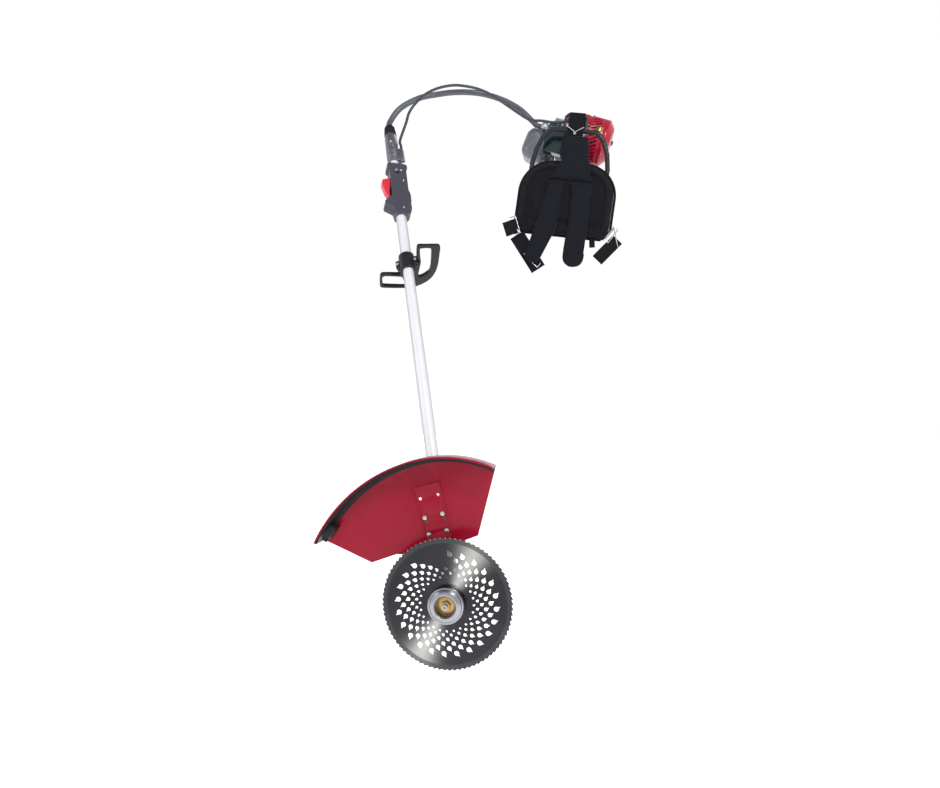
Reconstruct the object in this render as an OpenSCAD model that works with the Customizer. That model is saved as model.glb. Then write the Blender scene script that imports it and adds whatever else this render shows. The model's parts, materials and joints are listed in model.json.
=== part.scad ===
// Backpack brush cutter: an engine on a carrying frame drives a saw blade through a hose and a straight wand.
// The origin is the middle of the frame's top bar, from which the whole machine hangs.

/* [Pose] */
// Lean of the wand to the left, seen from the blade's face, in degrees
lean = 14.6; // [10:0.1:20]
// Angle between the wand and the blade's plane, in degrees
rise = 30; // [28:1:32]
// Roll of the hanging pack, in degrees
roll = 8; // [4:1:10]
// Tilt of the engine in its frame, in degrees
tilt = 10; // [8:1:12]

/* [Cutter] */
// Blade diameter over the teeth
blade_d = 255; // [230:1:255]
// Blade thickness
blade_t = 1.4; // [1.2:0.1:2]
// Number of teeth
teeth = 80; // [60:4:80]
// Number of curved rows of openings
arms = 24; // [18:1:24]
// Blade bore
bore_d = 25.4; // [20:0.1:25.4]
// Diameter of the stabiliser cup
cup_d = 72; // [60:1:80]

/* [Gear head] */
// Distance from the blade to the crossing of the two gear axes
head_h = 45; // [45:1:48]
// Teeth of the driven gear
gear_teeth = 20; // [20:1:20]
// Teeth of the driving pinion
pinion_teeth = 15; // [15:1:15]

/* [Wand] */
// Outer diameter of the aluminium tube
tube_d = 28; // [26:1:28]
// Wall of the tube
tube_wall = 1.5; // [1:0.1:2]
// Distance from the gear axes to the top end of the tube
tube_end = 1364; // [1350:1:1368]
// Diameter of the drive shaft
shaft_d = 8; // [7:0.5:8]
// Distance of the loop handle from the gear axes
handle_at = 880; // [840:1:960]
// Distance of the throttle grip's lower end from the gear axes
grip_at = 1045; // [1030:1:1050]

/* [Guard] */
// Thickness of the guard's plate and wall
guard_t = 3; // [2:0.5:4]
// Depth of the guard's wall
guard_depth = 50; // [40:1:55]
// Distance between the guard's holes across the bracket
hole_gap = 36.6; // [34:0.1:38]

/* [Hose] */
// Outer diameter of the drive hose
hose_d = 17; // [15:0.5:18]
// Outer diameter of the throttle cable
cable_d = 8; // [6:0.5:8]

/* [Pack] */
// Diameter of the frame's tubes
frame_d = 14; // [12:1:16]
// Width of the back pad
pad_w = 274; // [260:1:280]
// Height of the back pad
pad_h = 210; // [200:1:215]
// Thickness of the back pad
pad_t = 30; // [24:1:32]
// Width of a shoulder strap
strap_w = 64; // [56:1:66]

/* [Engine] */
// Radius of the fan housing
fan_r = 70; // [66:1:72]
// Bore of the cylinder
bore_r = 19.5; // [18:0.5:20]

/* [Hidden] */
$fn = 64;

blade_at = [-240, -803, -1216];
engine_at = [0, 132, -18];
run = 0.05;                       // radial running clearance

// Unit vector of the wand, from the gear head to the hose
wand_dir = [-cos(rise) * sin(lean), sin(rise), cos(rise) * cos(lean)];

// The blade's face: x to the right, y towards the tube, z out of the blade
module on_face() translate(blade_at) rotate([0, -lean, 0]) rotate([90, 0, 0]) children();
// Along the wand: z up the tube from the crossing of the gear axes, y away from the blade's face
module on_tube() translate(blade_at + [0, head_h, 0]) rotate([0, -lean, 0]) rotate([-rise, 0, 0]) children();
// The carrying frame: z up the wearer's back, y away from it
module on_pack() rotate([0, roll, 0]) children();
// The engine: x along the crankshaft, from the clutch to the starter
module on_engine() on_pack() translate(engine_at) rotate([0, tilt, 0]) children();
// The throttle grip: x away from the trigger, z up the tube
grip_turn = 30;
module on_grip() on_tube() rotate([0, 0, grip_turn]) children();

module ring(outer, inner, h) difference() {
    cylinder(r = outer, h = h);
    translate([0, 0, -1]) cylinder(r = inner, h = h + 2);
}

// Straight rod between two points
module rod(a, b, r) {
    v = b - a;
    translate(a) rotate([0, acos(v[2] / norm(v)), atan2(v[1], v[0])]) cylinder(r = r, h = norm(v));
}

weld = 0.2;                       // how far a corner's ball stands proud of its tubes
// Bent tube: rods along a list of points, with a ball at each inner corner
module bent(points, r) {
    for (i = [0:len(points) - 2]) rod(points[i], points[i + 1], r);
    for (i = [1:len(points) - 2]) translate(points[i]) sphere(r = r + weld, $fn = 32);
}

// Points of an arc about a centre
function arc(c, r, from, to, steps) =
    [for (i = [0:steps]) let (a = from + (to - from) * i / steps) c + r * [cos(a), sin(a)]];

// Catmull-Rom point between p1 and p2
function spline_at(p0, p1, p2, p3, u) =
    0.5 * (2 * p1 + (p2 - p0) * u + (2 * p0 - 5 * p1 + 4 * p2 - p3) * u * u
        + (3 * p1 - p0 - 3 * p2 + p3) * u * u * u);
function smooth(route, steps) = let (n = len(route)) concat(
    [for (i = [0:n - 2], s = [0:steps - 1])
        spline_at(route[max(i - 1, 0)], route[i], route[i + 1], route[min(i + 2, n - 1)], s / steps)],
    [route[n - 1]]);
function unit(v) = v / norm(v);

// Round tube swept along a route, with its flat ends square to the route
module sweep(route, d, sides) {
    n = len(route);
    rings = [for (i = [0:n - 1])
        let (t = unit(route[min(i + 1, n - 1)] - route[max(i - 1, 0)]),
            side = unit(cross(t, [0, 1, 0.2])),
            up = cross(side, t))
        for (k = [0:sides - 1]) route[i] + d / 2 * (cos(360 * k / sides) * side + sin(360 * k / sides) * up)];
    faces = concat(
        [[for (k = [0:sides - 1]) k]],
        [for (i = [0:n - 2], k = [0:sides - 1])
            [i * sides + k, (i + 1) * sides + k, (i + 1) * sides + (k + 1) % sides, i * sides + (k + 1) % sides]],
        [[for (k = [sides - 1:-1:0]) (n - 1) * sides + k]]);
    polyhedron(points = rings, faces = faces, convexity = 10);
}

// ---------------------------------------------------------------- carrying frame

arch_z = -46;
pack_bottom = -303;
deck_z = -158;
rear_y = 190;
frame_r = frame_d / 2;
hang_r = 4;

module pack_frame() color("#1d1d20") on_pack() {
    // front hoop
    bent([[-110, 0, pack_bottom], [-110, 0, -150], [-103, 0, -108], [-88, 0, -70], [-66, 0, arch_z],
        [66, 0, arch_z], [88, 0, -70], [103, 0, -108], [110, 0, -150], [110, 0, pack_bottom]], frame_r);
    rod([-110, 0, -200], [110, 0, -200], 5);
    rod([-110, 0, -285], [110, 0, -285], 5);
    // raised bar that the harness loops over and that the pack hangs by
    bent([[-30, -2, arch_z], [-30, 0, -8], [-22, 0, 0], [22, 0, 0], [30, 0, -8], [30, -2, arch_z]], hang_r);
}

post_r = 10;
post_top = -104;
bush_z = -141;                    // underside of the engine's swivel bush
// Stand behind the hoop, with a deck and the post that the engine turns on
module swivel_base() color("#1d1d20") on_pack() {
    for (s = [-1, 1]) bent([[s * 110, frame_r + 0.1, deck_z - 5], [s * 110, rear_y - 14, deck_z - 5], [s * 110, rear_y, deck_z - 19],
        [s * 110, rear_y, pack_bottom + 14], [s * 110, rear_y - 14, pack_bottom], [s * 110, frame_r + 0.1, pack_bottom]], frame_r);
    rod([-110, 40, deck_z - 5], [110, 40, deck_z - 5], 6);
    rod([-110, rear_y - 40, deck_z - 5], [110, rear_y - 40, deck_z - 5], 6);
    rod([-110, rear_y - 40, pack_bottom], [110, rear_y - 40, pack_bottom], 5.5);
    translate([-62, 32, deck_z]) cube([124, rear_y - 30, 4]);
    translate([engine_at[0], engine_at[1], deck_z + 2]) cylinder(r = 26, h = bush_z - 0.1 - deck_z - 2);
    translate([engine_at[0], engine_at[1], bush_z - 1]) cylinder(r = post_r, h = post_top - bush_z + 1);
}

module frame_feet() color("#151515") on_pack()
    for (s = [-1, 1], y = [24, rear_y - 60]) translate([s * 110, y, pack_bottom - frame_r - 7])
        difference() {
            translate([-11, -14, 0]) cube([22, 28, 9]);
            translate([0, -20, frame_r + 7]) rotate([-90, 0, 0]) cylinder(r = frame_r + 0.1, h = 40);
        }

// ---------------------------------------------------------------- harness

pad_y = -7.3;
pad_x = 4;
pad_top = -149;
pad_front = pad_y - pad_t;
yoke_y = pad_y - pad_t - 0.05;
yoke_end = -205;
tail_y = -10.2;                   // front of the webbing's tail

pad_top_r = 92;
pad_low_r = 36;
module back_pad() color("#17171a") on_pack() translate([pad_x, pad_y, pad_top - pad_h / 2])
    rotate([90, 0, 0]) linear_extrude(pad_t) polygon(concat(
        arc([pad_w / 2 - pad_top_r, pad_h / 2 - pad_top_r], pad_top_r, 0, 90, 14),
        arc([pad_top_r - pad_w / 2, pad_h / 2 - pad_top_r], pad_top_r, 90, 180, 14),
        arc([pad_low_r - pad_w / 2, pad_low_r - pad_h / 2], pad_low_r, 180, 270, 8),
        arc([pad_w / 2 - pad_low_r, pad_low_r - pad_h / 2], pad_low_r, 270, 360, 8)));

// The yoke leaves the top webbing, clears the hoop and lies on the pad
module harness_yoke() color("#121214") on_pack() intersection() {
    rotate([90, 0, 0]) linear_extrude(90) polygon(
        [[-28, -66], [42, -66], [46, -84], [60, -150], [74, yoke_end], [-52, yoke_end], [-26, -150], [-34, -84]]);
    translate([-90, 0, 0]) rotate([90, 0, 90]) linear_extrude(180) polygon(
        [[tail_y - 0.05, -60], [tail_y - 14, -60], [yoke_y - 14, -142], [yoke_y - 14, -210], [yoke_y, -210],
        [yoke_y, -145], [tail_y - 0.05, -86]]);
}

// The shoulder straps leave the yoke's end and finish in round tips
module shoulder_strap(outline) on_pack() translate([0, yoke_y - 0.05, 0]) rotate([90, 0, 0])
    linear_extrude(15) polygon(outline);
module right_shoulder_strap() color("#121214") shoulder_strap(concat(
    [[14, yoke_end - 0.05], [73, yoke_end - 0.05], [79, -300], [79, -414]],
    arc([79 - strap_w / 2, -420], strap_w / 2, 0, -180, 12),
    [[79 - strap_w, -380], [18, -340]]));
module left_shoulder_strap() color("#121214") shoulder_strap(concat(
    [[-6, yoke_end - 0.05], [-51, yoke_end - 0.05], [-72, -320], [-90, -414]],
    arc([-66, -427], 25, 172, 344, 12),
    [[-14, -358], [-8, -335]]));

webbing_t = 2.4;
webbing_x = 3;                    // the top webbing is a little off the frame's middle
wrap_r = hang_r + 0.25;
module top_webbing() color("#101012") on_pack() difference() {
    union() {
        translate([webbing_x - 23, 0, 0]) rotate([0, 90, 0]) cylinder(r = wrap_r + webbing_t, h = 46);
        translate([webbing_x - 23, wrap_r, -34]) cube([46, webbing_t, 34]);
        translate([webbing_x - 23, 0, 0]) rotate([90, 0, 90]) linear_extrude(46) polygon(
            [[-wrap_r, 0], [-wrap_r - webbing_t, 0], [tail_y, -35], [tail_y, -80], [tail_y + webbing_t, -80],
            [tail_y + webbing_t, -36]]);
    }
    translate([webbing_x - 24, 0, 0]) rotate([0, 90, 0]) cylinder(r = wrap_r, h = 48);
    translate([webbing_x - 24, -wrap_r, -20]) cube([48, 2 * wrap_r, 20]);
}

// Flat strap between two points of the pack's front, as a thin board
module strap_run(a, b, w, y, t = 2.4) {
    v = b - a;
    translate([a[0], y, a[1]]) rotate([0, -atan2(v[1], v[0]), 0]) translate([0, 0, -w / 2]) cube([norm(v), t, w]);
}
module lower_webbing() color("#0f0f11") on_pack() {
    strap_run([-46, -464], [-122, -373], 44, pad_front);
    strap_run([-126, -350], [-158, -365], 42, pad_front - 14);
    strap_run([117, -421], [166, -356], 36, pad_front - 4);
    strap_run([98, -386], [94, -362], 16, pad_front);
}

module wire_loop(w, h, r) {
    for (s = [-1, 1]) {
        rod([s * w / 2, 0, -h / 2], [s * w / 2, 0, h / 2], r);
        rod([-w / 2, 0, s * h / 2], [w / 2, 0, s * h / 2], r);
        translate([s * w / 2, 0, -h / 2]) sphere(r = r, $fn = 24);
        translate([s * w / 2, 0, h / 2]) sphere(r = r, $fn = 24);
    }
}
module strap_hardware() color("#b9bcc0") on_pack() {
    translate([-130, pad_front - 6, -347]) rotate([0, 66, 0]) wire_loop(50, 16, 1.8);
    translate([146, pad_front - 6.2, -345]) rotate([0, -60, 0]) wire_loop(46, 14, 1.8);
    // triangle wire that carries the right webbing
    translate([152, pad_front - 6, -328]) bent([[18, 0, -50], [0, 0, 0], [-24, 0, -38]], 1.7);
    translate([webbing_x - 1, tail_y - 2.1, -54]) bent([[-24, 0, 16], [0, 0, 0], [24, 0, 16]], 1.7);
    translate([webbing_x - 1, tail_y - 0.05, -58]) rotate([90, 0, 0]) cylinder(r = 4, h = 4);
}

// ---------------------------------------------------------------- engine

cradle_z = -83;
mount_x = 22;
module engine_cradle() color("#2c2d31") {
    difference() {
        union() {
            on_engine() difference() {
                translate([-42, -42, cradle_z]) cube([84, 84, 5]);
                for (x = [-mount_x, mount_x], y = [-30, 30]) translate([x, y, cradle_z - 1]) cylinder(r = 3.2, h = 8);
            }
            on_pack() translate([engine_at[0], engine_at[1], bush_z]) cylinder(r = 20, h = 44);
        }
        on_pack() translate([engine_at[0], engine_at[1], bush_z - 9]) cylinder(r = post_r + run, h = post_top - bush_z + 10);
    }
}

module rubber_mounts() color("#111111") on_engine()
    for (x = [-mount_x, mount_x], y = [-30, 30]) translate([x, y, cradle_z + 5]) ring(10, 3.2, 18);

case_r = 42;
module crankcase() color("#8d9094") on_engine() difference() {
    union() {
        translate([-38, 0, 0]) rotate([0, 90, 0]) cylinder(r = case_r, h = 72);
        translate([-38, -38, -60]) cube([72, 76, 30]);
    }
    translate([-28, 0, 0]) rotate([0, 90, 0]) cylinder(r = 31, h = 54);
    translate([-60, 0, 0]) rotate([0, 90, 0]) cylinder(r = 8, h = 120);
    translate([-4, 0, 0]) rotate([-cyl_lean, 0, 0]) cylinder(r = 25.1, h = 60);
    for (x = [-mount_x, mount_x], y = [-30, 30]) translate([x, y, -61]) cylinder(r = 3.2, h = 14);
}

cyl_lean = 75;
throw = 15;
rod_len = 52;
module on_cylinder() on_engine() translate([-4, 0, 0]) rotate([-cyl_lean, 0, 0]) children();

module crankshaft() color("#a9abae") {
    on_engine() translate([-62, 0, 0]) rotate([0, 90, 0]) difference() {
        cylinder(r = 7.5, h = 142);
        translate([0, 0, 51]) cylinder(r = 8, h = 14);
    }
    on_cylinder() for (s = [-1, 1]) translate([s * 11 - 4, 0, 0]) rotate([0, 90, 0]) cylinder(r = 27, h = 8);
    on_cylinder() translate([-8, 0, throw]) rotate([0, 90, 0]) cylinder(r = 6.5, h = 16);
}

module connecting_rod() color("#9b9da0") on_cylinder() difference() {
    union() {
        translate([-5, 0, throw]) rotate([0, 90, 0]) cylinder(r = 10.5, h = 10);
        translate([-5, 0, throw + rod_len]) rotate([0, 90, 0]) cylinder(r = 8, h = 10);
        translate([-3, -4, throw]) cube([6, 8, rod_len]);
    }
    translate([-10, 0, throw]) rotate([0, 90, 0]) cylinder(r = 6.5 + run, h = 20);
    translate([-10, 0, throw + rod_len]) rotate([0, 90, 0]) cylinder(r = 5 + run, h = 20);
}

module piston() color("#c7c9cb") on_cylinder() translate([0, 0, throw + rod_len]) {
    difference() {
        translate([0, 0, -13]) cylinder(r = bore_r - run, h = 27);
        translate([0, 0, -14]) cylinder(r = bore_r - 3, h = 24);
    }
    translate([-bore_r + 2, 0, 0]) rotate([0, 90, 0]) cylinder(r = 5, h = 2 * bore_r - 4);
}

head_z = 84;
module cylinder_fins() for (i = [0:6]) translate([0, 0, 50 + i * 6]) cylinder(r = 32, h = 2.2);
module cylinder_block() color("#9fa2a5") on_cylinder() difference() {
    union() {
        translate([0, 0, 27.5]) cylinder(r = 25, h = 68);
        cylinder_fins();
        translate([0, 0, 45]) cylinder(r = 33, h = 3);
    }
    translate([0, 0, 26]) cylinder(r = bore_r, h = head_z - 26);
    translate([0, 0, 80]) cylinder(r = 5, h = 30);
    translate([-30, 0, 0]) rotate([0, 90, 0]) cylinder(r = case_r + 0.1, h = 60);
    translate([-20, 0, 0]) rotate([0, 90, 0]) cylinder(r = 28.5, h = 40);
}

module spark_plug() color("#e9e7e0") on_cylinder() {
    translate([0, 0, head_z]) cylinder(r = 5, h = 13);
    translate([0, 0, 95.6]) cylinder(r = 9, h = 6, $fn = 6);
    translate([0, 0, 101]) cylinder(r = 5.5, h = 18);
    translate([0, 0, 119]) rotate([0, 0, 0]) cylinder(r = 8.5, h = 14);
}

// Cover over the cylinder, sloping down towards the clutch
module top_cover() color("#b3202b") on_engine() difference() {
    translate([0, 120, 0]) rotate([90, 0, 0]) linear_extrude(154)
        polygon([[-46, 2], [-46, 40], [-34, 50], [-8, 60], [20, 63], [34, 61], [34, 2]]);
    translate([0, 117.4, 0]) rotate([90, 0, 0]) linear_extrude(148.8)
        polygon([[-43.4, 1], [-43.4, 38.8], [-33, 47.5], [-7.4, 57.3], [20, 60.4], [31.4, 58.6], [31.4, 1]]);
    translate([-60, 0, 0]) rotate([0, 90, 0]) cylinder(r = case_r + 1, h = 120);
    translate([-60, -60, -10]) cube([120, 45, 45]);
    // cooling slots in the roof
    for (i = [0:6]) translate([-22, 20 + i * 13, 45]) cube([48, 6, 30]);
    // opening for the plug boot
    translate([-22, 100, 10]) cube([36, 40, 32]);
}

module flywheel() color("#b4b6b8") on_engine() translate([44, 0, 0]) rotate([0, 90, 0]) {
    difference() {
        union() {
            cylinder(r = 60, h = 6);
            cylinder(r = 18, h = 20);
            for (i = [0:17]) rotate(i * 20) translate([34, -1.2, 5]) cube([24, 2.4, 14]);
        }
        translate([0, 0, -1]) cylinder(r = 7.5, h = 30);
    }
}

module fan_housing() color("#b3202b") on_engine() difference() {
    union() {
        translate([35, 0, 0]) rotate([0, 90, 0]) cylinder(r = fan_r, h = 45);
        translate([35, 0, 0]) rotate([0, 90, 0]) cylinder(r = fan_r + 3, h = 4);
    }
    translate([38, 0, 0]) rotate([0, 90, 0]) cylinder(r = fan_r - 3, h = 60);
    translate([20, 0, 0]) rotate([0, 90, 0]) cylinder(r = 20, h = 60);
    // slanted louvres around the rim
    for (i = [0:35]) rotate([i * 10, 0, 0]) translate([44, 0, fan_r - 6]) rotate([0, 0, 32]) cube([30, 4, 12]);
}

rope_x = 92;
rope_z = 33;
module recoil_cover() color("#b3202b") on_engine() {
    difference() {
        union() {
            translate([80, 0, 0]) rotate([0, 90, 0]) cylinder(r = fan_r, h = 10);
            translate([90, 0, 0]) rotate([0, 90, 0]) cylinder(r1 = fan_r, r2 = 50, h = 16);
            translate([84, 50, rope_z - 9]) cube([16, 20, 18]);
        }
        translate([79, 0, 0]) rotate([0, 90, 0]) cylinder(r = fan_r - 3, h = 9);
        translate([88, 0, 0]) rotate([0, 90, 0]) cylinder(r1 = fan_r - 3, r2 = 47, h = 15);
        for (i = [0:23]) rotate([i * 15, 0, 0]) translate([96, -2.2, 32]) cube([20, 4.4, 17]);
        translate([rope_x, 30, rope_z]) rotate([-90, 0, 0]) cylinder(r = 2.6, h = 60);
    }
    // post that the starter reel turns on
    translate([84, 0, 0]) rotate([0, 90, 0]) cylinder(r = 6, h = 20);
}

module clutch_housing() color("#b9bcc0") on_engine() rotate([0, -90, 0]) difference() {
    union() {
        translate([0, 0, 38.1]) cylinder(r = 42, h = 5);
        translate([0, 0, 38.1]) cylinder(r = 39, h = 35);
        translate([0, 0, 73]) cylinder(r1 = 39, r2 = 17, h = 19);
        translate([0, 0, 92]) cylinder(r = 15.5, h = 20);
        translate([0, 0, 100]) cylinder(r = 17.5, h = 9);
    }
    translate([0, 0, 37]) cylinder(r = 36, h = 37);
    translate([0, 0, 73.9]) cylinder(r1 = 36, r2 = 10, h = 16.1);
    translate([0, 0, 60]) cylinder(r = 6.5 + run, h = 60);
}

// Drum that the clutch drives; its shank turns the hose's inner core
module clutch_drum() color("#85888c") on_engine() rotate([0, -90, 0]) {
    difference() {
        translate([0, 0, 46]) cylinder(r = 34, h = 24);
        translate([0, 0, 45]) cylinder(r = 31.5, h = 22);
    }
    translate([0, 0, 69]) cylinder(r = 6.5, h = 42);
}

module carburettor() color("#a4a6a3") on_engine() difference() {
    union() {
        translate([-20, -74, -16]) cube([34, 32, 30]);
        translate([-12, -60, -10]) cube([20, 26, 20]);
    }
    translate([-60, 0, 0]) rotate([0, 90, 0]) cylinder(r = case_r, h = 120);
    translate([-40, -60, -1]) rotate([0, 90, 0]) cylinder(r = 8, h = 42);
    translate([0, -60, 8]) cylinder(r = 2.5 + run, h = 20);
}

module air_filter_cover() color("#0d2a2c") on_engine() difference() {
    translate([-78, -90, -92]) cube([58, 36, 84]);
    translate([-75, -87, -89]) cube([52, 30, 78]);
    translate([-30, -60, -1]) rotate([0, 90, 0]) cylinder(r = 8, h = 42);
    translate([-48, -72, -12]) cylinder(r = 3 + run, h = 10);
}

module muffler() color("#3c3a38") on_engine() difference() {
    union() {
        translate([-34, 46, -84]) cube([60, 62, 50]);
        translate([-14, 58, -36]) cube([20, 16, 8]);
        translate([-34, 80, -66]) rotate([0, -90, 0]) cylinder(r = 8, h = 12);
    }
    translate([-31, 49, -81]) cube([54, 56, 44]);
    translate([-28, 80, -66]) rotate([0, -90, 0]) cylinder(r = 6, h = 20);
}

// Tank shoulders, rounded on every side
module tank_form(inset) hull()
    for (p = [[-118, -22, -42], [-118, 20, -42], [-120, -26, -84], [-120, 24, -84],
        [-74, -24, -76], [-74, 22, -76], [-78, -22, -92], [-78, 20, -92]])
        translate(p) sphere(r = 28 - inset, $fn = 28);
module fuel_tank() color("#4b4f55") on_engine() difference() {
    union() {
        tank_form(0);
        translate([-104, 40, -66]) rotate([-90, 0, 0]) cylinder(r = 16, h = 16);
    }
    tank_form(3);
    rotate([0, -90, 0]) cylinder(r = 43, h = 90);
    rotate([0, -90, 0]) cylinder(r = 19, h = 180);
    translate([-104, 20, -66]) rotate([-90, 0, 0]) cylinder(r = 12, h = 60);
}

module fuel_cap() color("#17181a") on_engine() translate([-104, 56.1, -66]) rotate([-90, 0, 0]) {
    difference() {
        cylinder(r = 20, h = 12);
        for (i = [0:11]) rotate(i * 30) translate([20.5, 0, -1]) cylinder(r = 2, h = 14, $fn = 24);
    }
    translate([0, 0, -8]) cylinder(r = 11.9, h = 9);
}

module choke_lever() color("#1b1b1d") on_engine() {
    translate([-48, -72, -12]) cylinder(r = 3, h = 8);
    translate([-51, -94, -6]) cube([6, 24, 3]);
}

module throttle_lever() color("#c9a24a") on_engine() {
    translate([0, -60, 8]) cylinder(r = 2.5, h = 10);
    translate([-21.5, -62.5, 15.5]) cube([23.5, 5, 2.5]);
}

module starter_reel() color("#26272a") on_engine() translate([85, 0, 0]) rotate([0, 90, 0]) difference() {
    union() {
        cylinder(r = 30, h = 2);
        cylinder(r = 22, h = 10);
        translate([0, 0, 8]) cylinder(r = 30, h = 2);
    }
    translate([0, 0, -1]) cylinder(r = 6 + run, h = 14);
}

module starter_handle() color("#151517") on_engine() {
    translate([rope_x, -40, rope_z]) rotate([-90, 0, 0]) cylinder(r = 1.8, h = 122);
    translate([rope_x - 17, 71, rope_z - 6]) cube([34, 13, 12]);
}

// ---------------------------------------------------------------- hose and cable

hose_top = 1420;                  // top of the boot, from the gear axes
cable_at = 27;                    // cable's distance from the tube's axis
tab_top = 1308;                   // top of the cable's tab
gears_at = blade_at + [0, head_h, 0];
// A point of the engine, in the part's own frame
function from_engine(p) = [
    cos(roll + tilt) * p[0] + sin(roll + tilt) * p[2] + sin(roll) * engine_at[2],
    p[1] + engine_at[1],
    -sin(roll + tilt) * p[0] + cos(roll + tilt) * p[2] + cos(roll) * engine_at[2]];
hose_route = concat(
    [for (t = [hose_top + 0.05, hose_top + 6, hose_top + 12]) gears_at + t * wand_dir],
    [[-552, -37, -7], [-547, -30, 7], [-539, -24, 23], [-526, -18, 40], [-508, -12, 55], [-485, -6, 68],
        [-459, 0, 79], [-421, 10, 88], [-373, 16, 94],
        [-325, 24, 95], [-278, 38, 92], [-235, 58, 84], [-198, 84, 74], [-166, 110, 59], [-130, 130.5, 27]],
    [for (x = [-124, -118, -112.1]) from_engine([x, 0, 0])]);
// The cable leaves the tab on the collar, along the wand
cable_start = gears_at + tab_top * wand_dir + cable_at * [cos(lean), 0, sin(lean)];
cable_route = concat(
    [for (t = [0.1, 11, 22]) cable_start + t * wand_dir],
    [[-509, -82, -76], [-496, -62, -19], [-490, -50, 14], [-474, -40, 44], [-446, -32, 73], [-408, -24, 93],
        [-361, -14, 103], [-315, -2, 100], [-281, 14, 94], [-247, 34, 82], [-213, 48, 61], [-174, 54, 34],
        [-141, 57, 14], [-104, 60, 10], [-78, 66, 7], [-52, 71, 6]],
    [for (x = [-34, -28, -21.6]) from_engine([x, -60, 17])]);

module drive_hose() color("#3d4148") sweep(smooth(hose_route, 2), hose_d, 12);
module throttle_cable() color("#2b2d31") sweep(smooth(cable_route, 2), cable_d, 8);

// ---------------------------------------------------------------- wand

tube_r = tube_d / 2;
module shaft_tube() color("#d9dbdd") on_tube() translate([0, 0, 50])
    ring(tube_r, tube_r - tube_wall, tube_end - 50);

cap_z = -88;
module gear_case() color("#9a9da1") difference() {
    union() {
        on_face() translate([0, 0, cap_z]) cylinder(r = 24, h = 74);
        on_tube() cylinder(r = 20, h = 100);
        on_tube() translate([-9, -30, 78]) cube([18, 30, 18]);
    }
    // gear chamber and bearing seats on the spindle's axis
    on_face() translate([0, 0, cap_z + 6]) cylinder(r = 17.5, h = 52);
    on_face() translate([0, 0, cap_z + 50]) cylinder(r = 14, h = 20);
    on_face() translate([0, 0, cap_z + 60]) cylinder(r = 9, h = 30);
    // pinion chamber, bearing seat and tube socket on the wand's axis
    on_tube() cylinder(r = 14, h = 43);
    on_tube() translate([0, 0, 40]) cylinder(r = 12, h = 20);
    on_tube() translate([0, 0, 50]) cylinder(r = tube_r + run, h = 60);
    // saw cut and screw of the clamp that grips the tube
    on_tube() translate([-1, -40, 70]) cube([2, 40, 40]);
    on_tube() translate([-20, -24, 87]) rotate([0, 90, 0]) cylinder(r = 2.6, h = 40);
}

module spindle_bearings() color("#c9cccf") {
    on_face() translate([0, 0, cap_z + 6.5]) ring(17.4, 6 + run, 8);
    on_face() translate([0, 0, -30]) ring(13.95, 8 + run, 8);
    on_tube() translate([0, 0, 33]) ring(13.95, 5 + run, 9);
}

module shaft_bushes() color("#7b5a3a") on_tube()
    for (t = [260, 600, 940, 1290]) translate([0, 0, t]) ring(tube_r - tube_wall - run, shaft_d / 2 + run, 22);

// ---- guard

bracket_x = 8;
plate_z = -44;
screw_y = [131, 165];
free_y = 203;
arc_c = [4.5, 34.6];
arc_r = 247;
arc_join = 92;
arc_c2 = arc_c - 58 * [cos(arc_join), sin(arc_join)];
arc_r2 = arc_r + 58;
guard_right = 53;
guard_left = 140;
function guard_arc(inset) = concat(
    arc(arc_c, arc_r - inset, guard_right, arc_join, 14),
    arc(arc_c2, arc_r2 - inset, arc_join + 3, guard_left, 18));
guard_inner = [[-138, 103], [-84, 108], [-34, 93], [34, 93], [58, 104], [84, 107]];

module slot(x, y, r, len) translate([x, y]) {
    square([2 * r, len - 2 * r], center = true);
    for (s = [-1, 1]) translate([0, s * (len / 2 - r)]) circle(r = r);
}
module guard() color("#a3122b") on_face() {
    translate([0, 0, plate_z]) linear_extrude(guard_t) difference() {
        polygon(concat(guard_arc(0), guard_inner));
        for (s = [-1, 1]) {
            translate([bracket_x + s * hole_gap / 2, free_y]) circle(r = 3);
            slot(bracket_x + s * hole_gap / 2, screw_y[1] - 5, 2.6, 18);
            translate([bracket_x + s * hole_gap / 2, screw_y[0]]) circle(r = 2.6);
        }
    }
    // outer wall
    translate([0, 0, plate_z + guard_t]) linear_extrude(guard_depth) guard_band(0, guard_t);
    // raised frame around the bracket
    translate([0, 0, plate_z + guard_t]) linear_extrude(1.6) difference() {
        translate([bracket_x, 172]) square([56, 112], center = true);
        translate([bracket_x, 172]) square([51, 107], center = true);
    }
}
// Band between two insets of the guard's outer edge
module guard_band(from, to) polygon(concat(guard_arc(from), [for (i = [33:-1:0]) guard_arc(to)[i]]));
module guard_skirt() color("#141416") on_face() translate([0, 0, plate_z + guard_t + 0.05]) {
    linear_extrude(guard_depth - 3) guard_band(guard_t + 0.1, guard_t + 3);
    linear_extrude(8) guard_band(guard_t + 0.1, guard_t + 10);
    translate([-203, 171, 0]) rotate([0, 0, 40]) cube([26, 14, 34]);
}

module guard_bracket() color("#5d6064") difference() {
    union() {
        on_face() translate([bracket_x - 25, 118, plate_z - 3.05]) cube([50, 66, 3]);
        on_face() translate([bracket_x - 14, 0, 0]) rotate([90, 0, 90]) linear_extrude(14)
            polygon([[124, plate_z - 3.05], [180, plate_z - 3.05], [150, -118], [114, -100]]);
        on_tube() translate([0, 0, 124]) cylinder(r = 20, h = 42);
    }
    on_tube() translate([0, 0, 100]) cylinder(r = tube_r + run, h = 100);
    on_face() for (s = [-1, 1], y = screw_y) translate([bracket_x + s * hole_gap / 2, y, -60]) cylinder(r = 2.5, h = 20);
}

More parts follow.
